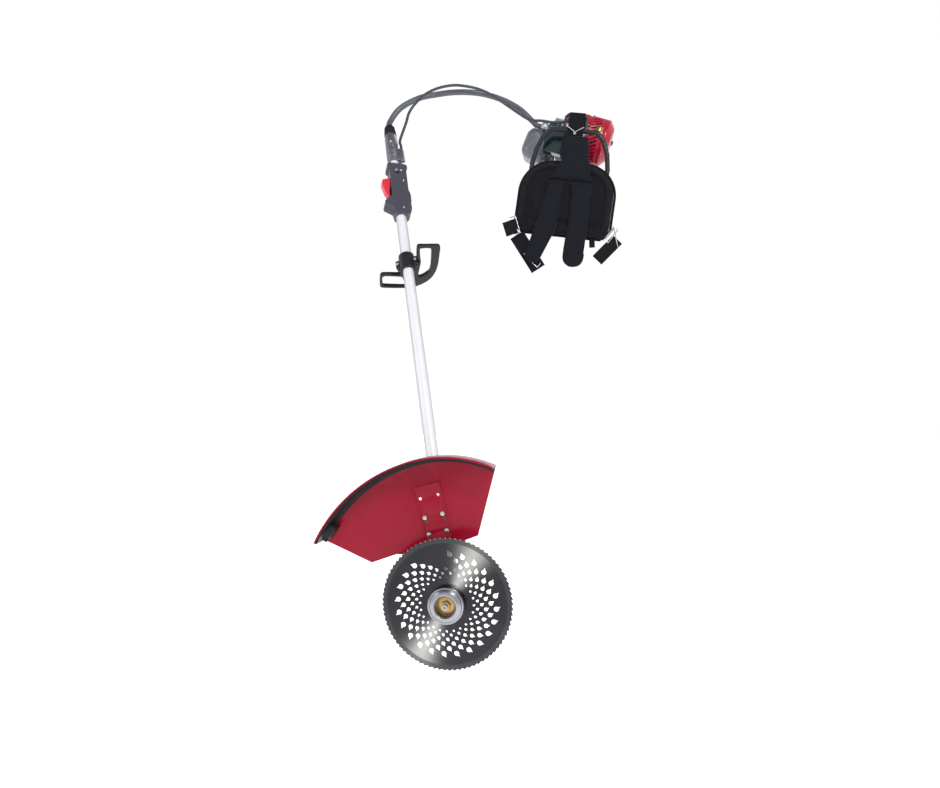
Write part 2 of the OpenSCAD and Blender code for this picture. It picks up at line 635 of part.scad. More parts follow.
module guard_screws() color("#c4c6c8") on_face() for (s = [-1, 1], y = screw_y)
    translate([bracket_x + s * hole_gap / 2, y, plate_z + guard_t]) {
        difference() {
            cylinder(r = 4.3, h = 2.6);
            translate([-6, -0.6, 1.4]) cube([12, 1.2, 3]);
        }
        translate([0, 0, -8.4]) cylinder(r = 2.3, h = 8.5);
    }

// ---- loop handle

loop_d = 12;                      // depth along the tube
clamp_r = 21;
loop_edge = [[42, -50], [46, -54], [52, -53], [92, -36], [97, -31], [97, -24], [84, 8], [77, 25], [62, 52], [42, 73],
    [20, 84], [-7, 88], [-34, 83], [-88, 57], [-93, 51], [-92, 43], [-80, 13], [-74, 8], [-66, 9], [-31, 25],
    [-24, 18], [-20, 2], [-20, 0.5], [29.9, 0.5], [29.9, -14]];
loop_window = [[48, -42], [53, -44], [70, -37], [74, -30], [66, -4], [55, 26], [46, 44], [36, 51], [18, 57],
    [13, 51], [26, 24], [36, 4], [40, -14]];
foot_window = [[-71, 17], [-66, 17], [-32, 35], [-28, 42], [-31, 72], [-36, 74], [-80, 52], [-84, 46], [-76, 20]];
module loop_outline(points) polygon(smooth(concat(points, [points[0]]), 3));
module loop_handle() color("#202124") on_tube() translate([0, 0, handle_at]) difference() {
    union() {
        translate([0, 0, -loop_d / 2]) linear_extrude(loop_d) difference() {
            loop_outline(loop_edge);
            loop_outline(loop_window);
            loop_outline(foot_window);
        }
        translate([0, 0, -25]) cylinder(r = clamp_r, h = 50);
        for (s = [-1, 1]) translate([s * 22 - 7, 0.5, -12]) cube([14, 8, 24]);
    }
    translate([0, 0, -40]) cylinder(r = tube_r + run, h = 80);
    translate([-60, -30.5, -40]) cube([89.9, 31, 80]);
    for (s = [-1, 1]) translate([s * 24, 20, 0]) rotate([90, 0, 0]) cylinder(r = 2.6, h = 40);
}
module handle_clamp() color("#202124") on_tube() translate([0, 0, handle_at]) difference() {
    union() {
        difference() {
            translate([0, 0, -25]) cylinder(r = clamp_r, h = 50);
            translate([-60, -0.5, -40]) cube([120, 60, 80]);
        }
        for (s = [-1, 1]) translate([s * 22 - 7, -8.5, -12]) cube([14, 8, 24]);
    }
    translate([0, 0, -40]) cylinder(r = tube_r + run, h = 80);
    for (s = [-1, 1]) translate([s * 24, 20, 0]) rotate([90, 0, 0]) cylinder(r = 2.6, h = 40);
}

// ---- throttle grip

grip_len = 202;
trigger_pivot = [-20, 137];
lock_pivot = [21, 100];
function grip_outline() = [[-15, 0], [14, 0], [26, 10], [30, 26], [29, 52], [27, 92], [28, 160], [28, 181], [32, 185],
    [32, 197], [26, grip_len], [-19, grip_len], [-25, 197], [-25, 185], [-20, 181], [-20, 160], [-21, 72], [-42, 48],
    [-43, 40], [-40, 36], [-19, 24]];
module grip_body() difference() {
    translate([0, 17, grip_at]) rotate([90, 0, 0]) linear_extrude(34) polygon(grip_outline());
    translate([0, 0, grip_at - 10]) cylinder(r = tube_r + run, h = grip_len + 20);
    // pocket for the trigger
    translate([-46, -9.5, grip_at + 63]) cube([31.5, 19, 84]);
    // pocket for the lock-out lever
    translate([14.5, -4.5, grip_at + 60]) cube([30, 9, 60]);
    // cable channel
    translate([22.5, 0, grip_at + 130]) cylinder(r = 4.1, h = 100);
    // window of the stop switch
    translate([-4, -20, grip_at + 160]) cube([10, 6, 18]);
    // bores of the two pivot pins
    translate([trigger_pivot[0], 30, grip_at + trigger_pivot[1]]) rotate([90, 0, 0]) cylinder(r = 1.6, h = 60);
    translate([lock_pivot[0], 30, grip_at + lock_pivot[1]]) rotate([90, 0, 0]) cylinder(r = 1.6, h = 60);
}
module grip_left() color("#26272b") on_grip() difference() {
    grip_body();
    translate([-60, -0.05, grip_at - 20]) cube([120, 60, grip_len + 40]);
}
module grip_right() color("#26272b") on_grip() difference() {
    grip_body();
    translate([-60, -59.95, grip_at - 20]) cube([120, 60, grip_len + 40]);
}
module grip_pins() color("#b9bcc0") on_grip() for (p = [trigger_pivot, lock_pivot])
    translate([p[0], 13, grip_at + p[1]]) rotate([90, 0, 0]) cylinder(r = 1.6, h = 26);

module trigger() color("#b5101f") on_grip() difference() {
    translate([0, 9, grip_at]) rotate([90, 0, 0]) linear_extrude(18)
        polygon([[-16.5, 130], [-16.5, 144], [-24, 145], [-41, 138], [-45, 124], [-38, 92], [-30, 72], [-26, 72],
            [-24, 99], [-20, 127]]);
    translate([trigger_pivot[0], 30, grip_at + trigger_pivot[1]]) rotate([90, 0, 0]) cylinder(r = 1.6 + run, h = 60);
}
module lockout_lever() color("#17181a") on_grip() difference() {
    translate([0, 4, grip_at]) rotate([90, 0, 0]) linear_extrude(8)
        polygon([[17.4, 94], [17.4, 118], [30, 116], [35, 96], [35, 66], [31, 64], [26, 90]]);
    translate([lock_pivot[0], 30, grip_at + lock_pivot[1]]) rotate([90, 0, 0]) cylinder(r = 1.6 + run, h = 60);
}
module stop_switch() color("#1a1a1c") on_grip() translate([-3.5, -18.5, grip_at + 160.5]) cube([9, 4.2, 9]);

// ---- top of the wand

collar_top = 1380;
module hose_collar() color("#6f7378") on_tube() difference() {
    union() {
        translate([0, 0, 1262]) cylinder(r = 17, h = 20);
        translate([0, 0, 1278]) cylinder(r = 18.5, h = 88);
        translate([0, 0, 1366]) cylinder(r = 17, h = collar_top - 1366);
        translate([12, -9, 1262]) cube([cable_at + 5 - 12, 16, tab_top - 1262]);
        translate([-2, -24, 1322]) cube([14, 10, 14]);
    }
    translate([0, 0, 1250]) cylinder(r = tube_r + run, h = tube_end - 1250);
    translate([0, 0, 1250]) cylinder(r = 8, h = 170);
    translate([cable_at, 0, 1250]) cylinder(r = 1.5, h = 62);
}
module hose_boot() color("#1f2124") on_tube() difference() {
    union() {
        translate([0, 0, collar_top]) cylinder(r1 = 16, r2 = 13, h = hose_top - collar_top);
        for (i = [0:4]) translate([0, 0, collar_top + 2 + i * 7.2]) cylinder(r = 18 - i * 0.6, h = 3.6);
    }
    translate([0, 0, collar_top - 4]) cylinder(r = 6, h = 60);
}

// ---------------------------------------------------------------- cutter

flange_z = -10;
module output_spindle() color("#8f9296") on_face() difference() {
    union() {
        translate([0, 0, cap_z + 6.5]) cylinder(r = 6, h = 52);
        translate([0, 0, -30]) cylinder(r = 8, h = 20);
        translate([0, 0, flange_z]) cylinder(r = 5, h = 18 - flange_z);
        translate([0, 0, 17]) cylinder(r = 4.4, h = 9);
    }
    translate([0, 0, 20]) cylinder(r = 2.4, h = 10);
}

// Half angles of the two pitch cones, from the tooth counts and the angle between the axes
axes_angle = 90 - rise;
pinion_cone = atan(sin(axes_angle) / (gear_teeth / pinion_teeth + cos(axes_angle)));
gear_cone = axes_angle - pinion_cone;
cone_in = 18;
cone_out = 26;
addendum = 0.7;
dedendum = 0.95;
tooth_w = 1.15;

// Straight bevel gear with its apex at the origin and its axis along z
module bevel(cone, count, phase, bore, hub_r, hub_h) {
    z_in = cone_in * cos(cone) + dedendum * sin(cone);
    z_out = cone_out * cos(cone) + dedendum * sin(cone);
    difference() {
        union() {
            translate([0, 0, z_in]) cylinder(r1 = cone_in * sin(cone) - dedendum * cos(cone),
                r2 = cone_out * sin(cone) - dedendum * cos(cone), h = z_out - z_in);
            translate([0, 0, z_out - 0.01]) cylinder(r = hub_r, h = hub_h);
            for (i = [0:count - 1]) rotate([0, 0, phase + i * 360 / count]) rotate([0, cone, 0])
                translate([-dedendum - 0.6, -tooth_w / 2, cone_in]) cube([dedendum + addendum + 0.6, tooth_w, cone_out - cone_in]);
        }
        if (bore > 0) translate([0, 0, -1]) cylinder(r = bore, h = 60);
    }
}
module bevel_gear() color("#7d8084") on_face() translate([0, 0, -head_h]) rotate([180, 0, 0])
    bevel(gear_cone, gear_teeth, -90 + 180 / gear_teeth, 6, 11, 3.5);

// Drive shaft with the pinion on its lower end
module drive_unit() color("#8a8d91") on_tube() {
    bevel(pinion_cone, pinion_teeth, 90, 0, 8, 6);
    translate([0, 0, 22]) cylinder(r = 5, h = 28);
    translate([0, 0, 49]) cylinder(r = shaft_d / 2, h = collar_top - 4 - 49);
}

module blade_holder() color("#aeb1b4") on_face() difference() {
    union() {
        translate([0, 0, flange_z - 1]) cylinder(r = 14, h = 5);
        translate([0, 0, flange_z + 3]) cylinder(r = 25, h = -flange_z - 3 - blade_t / 2);
        translate([0, 0, -blade_t / 2 - 0.01]) cylinder(r = bore_d / 2 - 0.05, h = blade_t);
    }
    translate([0, 0, flange_z - 2]) cylinder(r = 8 + run, h = 2.1);
    translate([0, 0, -30]) cylinder(r = 5, h = 40);
}

blade_r = blade_d / 2;
pitch = 360 / teeth;
function tooth(i) = [for (p = [[blade_r - 2.9, -0.2], [blade_r - 2.5, 0], [blade_r, 0.06], [blade_r - 0.5, 1],
    [blade_r - 1.5, 2.4], [blade_r - 2.7, 3.5]]) p[0] * [cos(i * pitch + p[1] * 80 / teeth), sin(i * pitch + p[1] * 80 / teeth)]];
// Drop-shaped opening: a round end with a point that trails towards the rim
module drop(r) {
    circle(r = r, $fn = 24);
    polygon([[0, 0.8 * r], [1.9 * r, 0], [0, -0.8 * r]]);
}
row_r = [52, 59, 67, 75.5, 84.5, 95];
module saw_blade() color("#55585c") on_face() translate([0, 0, -blade_t / 2]) linear_extrude(blade_t) difference() {
    polygon([for (i = [0:teeth - 1], p = tooth(i)) p]);
    circle(r = bore_d / 2);
    for (a = [0:arms - 1], k = [0:5]) if (!(a * 360 / arms > 60 && a * 360 / arms < 100 && k > 2))
        rotate(a * 360 / arms - k * -8.4 - 30) translate([row_r[k], 0]) rotate(35) drop(2 + k * 0.55);
}

module stabiliser_cup() color("#c9cccf") on_face() rotate_extrude() polygon([
    [5.1, 0.75], [26, 0.75], [26, 3], [33, 3], [35, 4.5], [cup_d / 2, 7], [cup_d / 2, 13], [34.5, 16.5],
    [32, 17.5], [31, 20], [28, 23], [24, 24.6], [21.5, 24.6], [20.5, 23.5], [20.5, 8], [5.1, 8]]);

module blade_nut() color("#b08d3f") on_face() translate([0, 0, 8]) difference() {
    union() {
        cylinder(r = 19.5, h = 2.5);
        cylinder(r = 9.8, h = 10, $fn = 6);
    }
    translate([0, 0, -1]) cylinder(r = 5, h = 14);
}

pack_frame();
swivel_base();
frame_feet();
back_pad();
harness_yoke();
left_shoulder_strap();
right_shoulder_strap();
top_webbing();
lower_webbing();
strap_hardware();
engine_cradle();
rubber_mounts();
crankcase();
crankshaft();
connecting_rod();
piston();
cylinder_block();  // cylinder
spark_plug();
top_cover();
flywheel();
fan_housing();
recoil_cover();
clutch_housing();
carburettor();
air_filter_cover();
muffler();
fuel_tank();
drive_hose();
throttle_cable();
clutch_drum();
starter_reel();
starter_handle();
fuel_cap();
choke_lever();
throttle_lever();
shaft_tube();
gear_case();
spindle_bearings();
shaft_bushes();
guard();
guard_skirt();
guard_bracket();
guard_screws();
loop_handle();
handle_clamp();
grip_left();
grip_right();
grip_pins();
hose_collar();
hose_boot();
trigger();
lockout_lever();
stop_switch();
output_spindle();
bevel_gear();
blade_holder();
saw_blade();
stabiliser_cup();
blade_nut();
drive_unit();
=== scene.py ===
import json
import math
import random

import bpy
from mathutils import Matrix, Vector
from mathutils.bvhtree import BVHTree


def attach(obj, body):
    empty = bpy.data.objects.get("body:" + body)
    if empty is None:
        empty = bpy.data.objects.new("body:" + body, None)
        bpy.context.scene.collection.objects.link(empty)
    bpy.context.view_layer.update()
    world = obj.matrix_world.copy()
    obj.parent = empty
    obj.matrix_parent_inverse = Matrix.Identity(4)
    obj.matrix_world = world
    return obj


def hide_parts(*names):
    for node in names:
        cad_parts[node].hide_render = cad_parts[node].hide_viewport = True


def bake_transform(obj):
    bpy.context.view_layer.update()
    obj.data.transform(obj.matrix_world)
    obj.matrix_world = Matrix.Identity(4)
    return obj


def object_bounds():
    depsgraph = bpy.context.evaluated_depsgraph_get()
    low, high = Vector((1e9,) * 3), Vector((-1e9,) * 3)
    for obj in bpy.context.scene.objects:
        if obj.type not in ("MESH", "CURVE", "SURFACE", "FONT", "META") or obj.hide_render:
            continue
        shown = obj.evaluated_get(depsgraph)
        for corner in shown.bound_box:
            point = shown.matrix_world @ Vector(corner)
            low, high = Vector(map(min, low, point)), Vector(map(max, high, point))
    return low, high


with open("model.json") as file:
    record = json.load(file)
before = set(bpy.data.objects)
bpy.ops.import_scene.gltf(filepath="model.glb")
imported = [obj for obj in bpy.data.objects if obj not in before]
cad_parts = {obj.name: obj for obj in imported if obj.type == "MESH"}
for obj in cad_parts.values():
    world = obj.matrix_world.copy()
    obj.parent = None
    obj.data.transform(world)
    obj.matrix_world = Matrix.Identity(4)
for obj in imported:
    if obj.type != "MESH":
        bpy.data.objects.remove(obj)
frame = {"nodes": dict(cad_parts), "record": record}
cad_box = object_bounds()
nodes = frame["nodes"]
record = frame["record"]
slot_of = {s["node"]: s["material_slot"] for s in record["subparts"]}
body_of = {n: b for b, names in record["behaviour"]["bodies"].items() for n in names}
random.seed(7)

# ---------------------------------------------------------------- frames of the object
# Lengths are written in millimetres and turned into metres by MM.
MM = 0.001
LEAN = math.radians(14.6)     # lean of the wand to the left
RISE = math.radians(30)       # between the wand and the blade's plane
ROLL = math.radians(8)        # roll of the hanging pack
TILT = math.radians(10)       # tilt of the engine in its frame
BLADE_AT = Vector((-240, -803, -1216)) * MM
GEARS_AT = BLADE_AT + Vector((0, 45, 0)) * MM
ENGINE_AT = Vector((0, 132, -18)) * MM
GRIP_AT = 1045                # grip's lower end, up the wand

PACK = Matrix.Rotation(ROLL, 4, "Y")
ENGINE = PACK @ Matrix.Translation(ENGINE_AT) @ Matrix.Rotation(TILT, 4, "Y")
FACE = (Matrix.Translation(BLADE_AT) @ Matrix.Rotation(-LEAN, 4, "Y")
        @ Matrix.Rotation(math.radians(90), 4, "X"))
TUBE = Matrix.Translation(GEARS_AT) @ Matrix.Rotation(-LEAN, 4, "Y") @ Matrix.Rotation(-RISE, 4, "X")
GRIP = TUBE @ Matrix.Rotation(math.radians(30), 4, "Z")
WAND = (TUBE.to_3x3() @ Vector((0, 0, 1))).normalized()


def at(frame_matrix, x, y, z):
    """A point given in millimetres in one of the frames above, in the row frame in metres."""
    return frame_matrix @ (Vector((x, y, z)) * MM)


# ---------------------------------------------------------------- camera, light and floor

def add_camera():
    data = bpy.data.cameras.new("camera")
    data.sensor_width = 36
    data.lens = 28.72
    camera = bpy.data.objects.new("camera", data)
    camera.location = (0.0151, -2.2121, -0.815)
    camera.rotation_euler = (math.radians(90), 0, math.radians(8.5))
    bpy.context.collection.objects.link(camera)
    bpy.context.scene.camera = camera


def add_light(name, place, target, size, energy, color=(1, 1, 1)):
    data = bpy.data.lights.new(name, "AREA")
    data.size = size
    data.energy = energy
    data.color = color
    lamp = bpy.data.objects.new(name, data)
    lamp.location = place
    lamp.rotation_euler = (Vector(target) - Vector(place)).to_track_quat("-Z", "Y").to_euler()
    bpy.context.collection.objects.link(lamp)


def add_studio():
    add_light("key", (1.3, -2.6, 1.5), (-0.1, -0.4, -0.7), 0.9, 80)
    add_light("fill", (-2.2, -1.8, 0.2), (-0.2, -0.4, -0.7), 1.6, 16, (0.94, 0.96, 1))
    add_light("rim", (-0.6, 1.6, 1.7), (-0.2, -0.2, -0.4), 1.2, 12)
    world = bpy.data.worlds.new("studio")
    bpy.context.scene.world = world
    world.use_nodes = True
    tree = world.node_tree
    background = tree.nodes["Background"]
    coords = tree.nodes.new("ShaderNodeTexCoord")
    split = tree.nodes.new("ShaderNodeSeparateXYZ")
    ramp = tree.nodes.new("ShaderNodeValToRGB")
    ramp.color_ramp.elements[0].position = 0.5
    ramp.color_ramp.elements[0].color = (1, 1, 1, 1)
    ramp.color_ramp.elements[1].position = 0.8
    ramp.color_ramp.elements[1].color = (0.35, 0.35, 0.36, 1)
    tree.links.new(coords.outputs["Generated"], split.inputs[0])
    tree.links.new(split.outputs[2], ramp.inputs[0])
    tree.links.new(ramp.outputs[0], background.inputs[0])
    background.inputs[1].default_value = 1.02
    bpy.context.scene.view_settings.view_transform = "Standard"


def add_floor():
    size = 14.0
    below = cad_box[0][2] - 0.35      # the wand hangs lower when the hose bends
    mesh = bpy.data.meshes.new("floor")
    mesh.from_pydata([(-size, -size, below), (size, -size, below), (size, size, below), (-size, size, below)],
                     [], [(0, 1, 2, 3)])
    floor = bpy.data.objects.new("floor", mesh)
    bpy.context.collection.objects.link(floor)
    material = bpy.data.materials.new("pale_floor")
    material.use_nodes = True
    shader = material.node_tree.nodes["Principled BSDF"]
    shader.inputs["Base Color"].default_value = (0.93, 0.93, 0.935, 1)
    shader.inputs["Roughness"].default_value = 0.85
    shader.inputs["Specular IOR Level"].default_value = 0.1
    shader.inputs["Emission Color"].default_value = (1, 1, 1, 1)
    shader.inputs["Emission Strength"].default_value = 0.8
    mesh.materials.append(material)


add_camera()
add_studio()
add_floor()


# ---------------------------------------------------------------- materials

class Look:
    """A material, with short ways to add its nodes."""

    def __init__(self, name):
        self.material = bpy.data.materials.new(name)
        self.material.use_nodes = True
        self.tree = self.material.node_tree
        self.shader = self.tree.nodes["Principled BSDF"]
        self.coords = self.tree.nodes.new("ShaderNodeTexCoord").outputs["Object"]

    def put(self, socket, value):
        if isinstance(value, bpy.types.NodeSocket):
            self.tree.links.new(value, socket)
        else:
            socket.default_value = value

    def set(self, **values):
        for key, value in values.items():
            self.put(self.shader.inputs[key.replace("_", " ")], value)
        return self

    def math(self, operation, a, b=0.0, clamp=False):
        node = self.tree.nodes.new("ShaderNodeMath")
        node.operation = operation
        node.use_clamp = clamp
        self.put(node.inputs[0], a)
        self.put(node.inputs[1], b)
        return node.outputs[0]

    def vector(self, operation, a, b=(0, 0, 0)):
        node = self.tree.nodes.new("ShaderNodeVectorMath")
        node.operation = operation
        self.put(node.inputs[0], a)
        self.put(node.inputs[1], b)
        return node.outputs["Value" if operation in ("DOT_PRODUCT", "LENGTH") else "Vector"]

    def noise(self, scale, detail=3.0, coords=None, distortion=0.0):
        node = self.tree.nodes.new("ShaderNodeTexNoise")
        self.put(node.inputs["Vector"], coords or self.coords)
        node.inputs["Scale"].default_value = scale
        node.inputs["Detail"].default_value = detail
        node.inputs["Distortion"].default_value = distortion
        return node.outputs["Fac"]

    def voronoi(self, scale, coords=None):
        node = self.tree.nodes.new("ShaderNodeTexVoronoi")
        self.put(node.inputs["Vector"], coords or self.coords)
        node.inputs["Scale"].default_value = scale
        return node.outputs["Distance"]

    def stretched(self, direction, factor):
        """Object coordinates squeezed along a direction, so that noise on them runs in streaks."""
        along = self.vector("DOT_PRODUCT", self.coords, tuple(direction))
        node = self.tree.nodes.new("ShaderNodeVectorMath")
        node.operation = "SCALE"
        node.inputs[0].default_value = tuple(direction)
        self.put(node.inputs["Scale"], self.math("MULTIPLY", along, factor - 1))
        return self.vector("ADD", self.coords, node.outputs[0])

    def waves(self, direction, period):
        """A sine of the given period along a direction, from 0 to 1."""
        along = self.vector("DOT_PRODUCT", self.coords, tuple(direction))
        turned = self.math("MULTIPLY", along, 2 * math.pi / period)
        return self.math("MULTIPLY_ADD", self.math("SINE", turned), 0.5)

    def ramp(self, value, low, high, out_low=0.0, out_high=1.0):
        node = self.tree.nodes.new("ShaderNodeMapRange")
        node.clamp = True
        self.put(node.inputs[0], value)
        for i, v in enumerate((low, high, out_low, out_high)):
            node.inputs[i + 1].default_value = v
        return node.outputs[0]

    def mix(self, factor, a, b):
        node = self.tree.nodes.new("ShaderNodeMix")
        node.data_type = "RGBA"
        self.put(node.inputs[0], factor)
        self.put(node.inputs[6], a if isinstance(a, bpy.types.NodeSocket) else (*a[:3], 1))
        self.put(node.inputs[7], b if isinstance(b, bpy.types.NodeSocket) else (*b[:3], 1))
        return node.outputs[2]

    def bump(self, height, strength, distance):
        node = self.tree.nodes.new("ShaderNodeBump")
        node.inputs["Strength"].default_value = strength
        node.inputs["Distance"].default_value = distance
        self.put(node.inputs["Height"], height)
        if self.shader.inputs["Normal"].is_linked:
            self.put(node.inputs["Normal"], self.shader.inputs["Normal"].links[0].from_socket)
        self.put(self.shader.inputs["Normal"], node.outputs[0])
        return self

    def facing(self, low, high):
        """From 0 where the surface faces the viewer to 1 where it turns away."""
        return self.ramp(self.tree.nodes.new("ShaderNodeLayerWeight").outputs["Facing"], low, high)

    def edges(self, low=0.52, high=0.58):
        """Where the surface turns sharply outwards, from 0 to 1."""
        return self.ramp(self.tree.nodes.new("ShaderNodeNewGeometry").outputs["Pointiness"], low, high)


def shade(color, factor):
    return tuple(min(1.0, c * factor) for c in color)


def moulded(name, color, rough, grain=0.00012, worn=1.8, coat=0.0, metal=0.0, mottle=0.14):
    """Plastic, rubber or paint: fine grain, uneven tone and rubbed edges."""
    look = Look(name)
    cloudy = look.noise(28, 4)
    base = look.mix(cloudy, shade(color, 1 - mottle), shade(color, 1 + mottle))
    base = look.mix(look.math("MULTIPLY", look.edges(), 0.55), base, shade(color, worn))
    fine = look.noise(1700, 2)
    look.set(Base_Color=base, Metallic=metal, Coat_Weight=coat, Coat_Roughness=0.12)
    look.set(Specular_IOR_Level=0.2 if max(color) < 0.08 else 0.5)
    look.set(Roughness=look.ramp(look.noise(90, 5), 0.3, 0.7, rough - 0.07, rough + 0.09))
    look.bump(fine, 0.35, grain)
    return look


def cast_metal(name, color, rough):
    """Cast alloy: blasted skin with small pits and a duller tone in patches."""
    look = moulded(name, color, rough, grain=0.00025, worn=1.25, metal=0.85, mottle=0.1)
    look.bump(look.voronoi(420), 0.25, 0.0003)
    return look


def turned_metal(name, color, rough, centre, axis, pitch=0.0006):
    """Turned steel: rings round an axis."""
    look = Look(name)
    offset = look.vector("SUBTRACT", look.coords, tuple(centre))
    along = look.vector("DOT_PRODUCT", offset, tuple(axis))
    radius = look.vector("LENGTH", look.vector("CROSS_PRODUCT", offset, tuple(axis)))
    ring = look.math("SINE", look.math("MULTIPLY", look.math("ADD", radius, along), 2 * math.pi / pitch))
    smudge = look.noise(60, 4)
    look.set(Base_Color=look.mix(smudge, shade(color, 0.86), shade(color, 1.08)), Metallic=1.0)
    look.set(Roughness=look.ramp(smudge, 0.3, 0.75, rough, rough + 0.12))
    look.bump(ring, 0.12, 0.00006)
    return look


def woven(name, color, across, along, period, depth, sheen=0.1, twill=False):
    """Cloth: threads in two directions, a tone that wanders, dust and a soft sheen."""
    look = Look(name)
    warp = look.waves(across, period)
    weft = look.waves((Vector(along) + (Vector(across) if twill else Vector())), period)
    threads = look.math("MAXIMUM", warp, weft) if not twill else look.math("MULTIPLY", warp, weft)
    wander = look.noise(34, 5)
    base = look.mix(wander, shade(color, 0.72), shade(color, 1.5))
    base = look.mix(look.math("MULTIPLY", threads, 0.6), shade(color, 0.5), base)
    dust = look.ramp(look.noise(240, 6), 0.6, 0.85, 0, 0.18)
    base = look.mix(dust, base, (0.06, 0.06, 0.065))
    look.set(Base_Color=base, Roughness=0.86, Sheen_Weight=sheen, Sheen_Roughness=0.4,
             Specular_IOR_Level=0.12)
    look.bump(threads, 0.6, depth)
    look.bump(look.noise(420, 4), 0.3, depth * 0.8)
    return look


def blade_steel():
    """Sheet steel polished in circles: painted highlights along two radii, a darker band inside the teeth."""
    look = Look("blade_steel")
    centre, axis = tuple(BLADE_AT), (0, 1, 0)
    offset = look.vector("SUBTRACT", look.coords, centre)
    radius = look.vector("LENGTH", offset)
    around = look.vector("CROSS_PRODUCT", offset, axis)
    rings = look.noise(6, 6, offset)
    fine = look.math("SINE", look.math("MULTIPLY", radius, 2 * math.pi / 0.0009))
    finer = look.math("SINE", look.math("MULTIPLY", radius, 2 * math.pi / 0.00041))
    lines = look.math("MULTIPLY_ADD", look.math("MULTIPLY", fine, finer), 0.5)
    base = look.mix(rings, (0.02, 0.019, 0.022), (0.05, 0.048, 0.053))
    # painted highlight: the base colour is lightened along two radii, at one and at seven o'clock, where the
    # polish would catch the light
    spoke = look.vector("DOT_PRODUCT", look.vector("NORMALIZE", offset), (0.47, 0, 0.88))
    painted_highlight = look.math("POWER", look.math("MULTIPLY", spoke, spoke), 16)
    base = look.mix(look.math("MULTIPLY", painted_highlight, 0.8), base, (0.5, 0.49, 0.47))
    rim = look.ramp(radius, 0.1155, 0.1175)
    base = look.mix(look.math("MULTIPLY", rim, 0.75), base, (0.06, 0.06, 0.064))
    grime = look.ramp(look.noise(130, 5), 0.62, 0.8, 0, 0.5)
    base = look.mix(grime, base, (0.06, 0.045, 0.04))
    tangent = look.tree.nodes.new("ShaderNodeVectorTransform")
    tangent.vector_type = "VECTOR"
    tangent.convert_from = "OBJECT"
    tangent.convert_to = "WORLD"
    look.put(tangent.inputs[0], around)
    look.set(Base_Color=base, Metallic=1.0, Anisotropic=0.92, Tangent=tangent.outputs[0])
    look.set(Roughness=look.ramp(look.noise(45, 5), 0.3, 0.7, 0.27, 0.4))
    look.bump(lines, 0.08, 0.00003)
    return look


def drawn_tube():
    """Anodised tube: satin, with fine lines along it, rubbed and a little dusty, with painted shade where it
    turns away from the viewer.
    """
    look = Look("anodised")
    streaks = look.noise(900, 3, look.stretched(WAND, 0.01))
    smudge = look.noise(22, 5)
    base = look.mix(smudge, (0.58, 0.59, 0.62), (0.66, 0.66, 0.68))
    # painted shade: the colour darkens to grey towards the edges, where the tube turns away from the viewer
    look.set(Base_Color=look.mix(look.facing(0.35, 1.0), base, (0.17, 0.17, 0.2)), Metallic=0.2)
    look.set(Roughness=look.ramp(streaks, 0.25, 0.75, 0.42, 0.56))
    look.bump(streaks, 0.12, 0.00005)
    return look


def clear_red():
    """Guard: smooth red moulding with flow marks and fine scratches."""
    look = Look("guard_red")
    flow = look.noise(7, 3, distortion=1.5)
    base = look.mix(flow, (0.19, 0.002, 0.012), (0.27, 0.003, 0.019))
    scratch = look.ramp(look.noise(700, 2, look.stretched((0.77, 0.1, 0.63), 0.02)), 0.66, 0.72)
    look.set(Base_Color=base, Coat_Weight=0.05, Coat_Roughness=0.08, Specular_IOR_Level=0.14)
    look.set(Roughness=look.ramp(scratch, 0, 1, 0.2, 0.42))
    look.bump(look.noise(60, 3), 0.1, 0.0004)
    look.bump(look.math("ADD", look.noise(900, 2), scratch), 0.12, 0.00006)
    return look


def smoky_tank():
    """Fuel tank: grey moulding, cloudy, slightly clear."""
    look = moulded("tank_plastic", (0.085, 0.088, 0.11), 0.24, grain=0.00005, worn=1.2, coat=0.35,
                   mottle=0.08)
    return look.set(Transmission_Weight=0.08)


def marked_rubber(name, color, wrap_period=0.004):
    """Hose rubber: matte skin with faint wrap lines and dull scuffs."""
    look = moulded(name, color, 0.45, grain=0.0001, worn=1.4, coat=0.08, mottle=0.2)
    scuff = look.ramp(look.noise(160, 6), 0.58, 0.75, 0, 0.5)
    socket = look.shader.inputs["Base Color"]
    look.put(socket, look.mix(scuff, socket.links[0].from_socket, shade(color, 2.2)))
    look.bump(look.waves((0.3, 0.4, 0.87), wrap_period), 0.04, 0.00004)
    return look


PACK_X = PACK.to_3x3() @ Vector((1, 0, 0))
PACK_Z = PACK.to_3x3() @ Vector((0, 0, 1))
ENGINE_X = ENGINE.to_3x3() @ Vector((1, 0, 0))
FACE_AXIS = Vector((0, -1, 0))


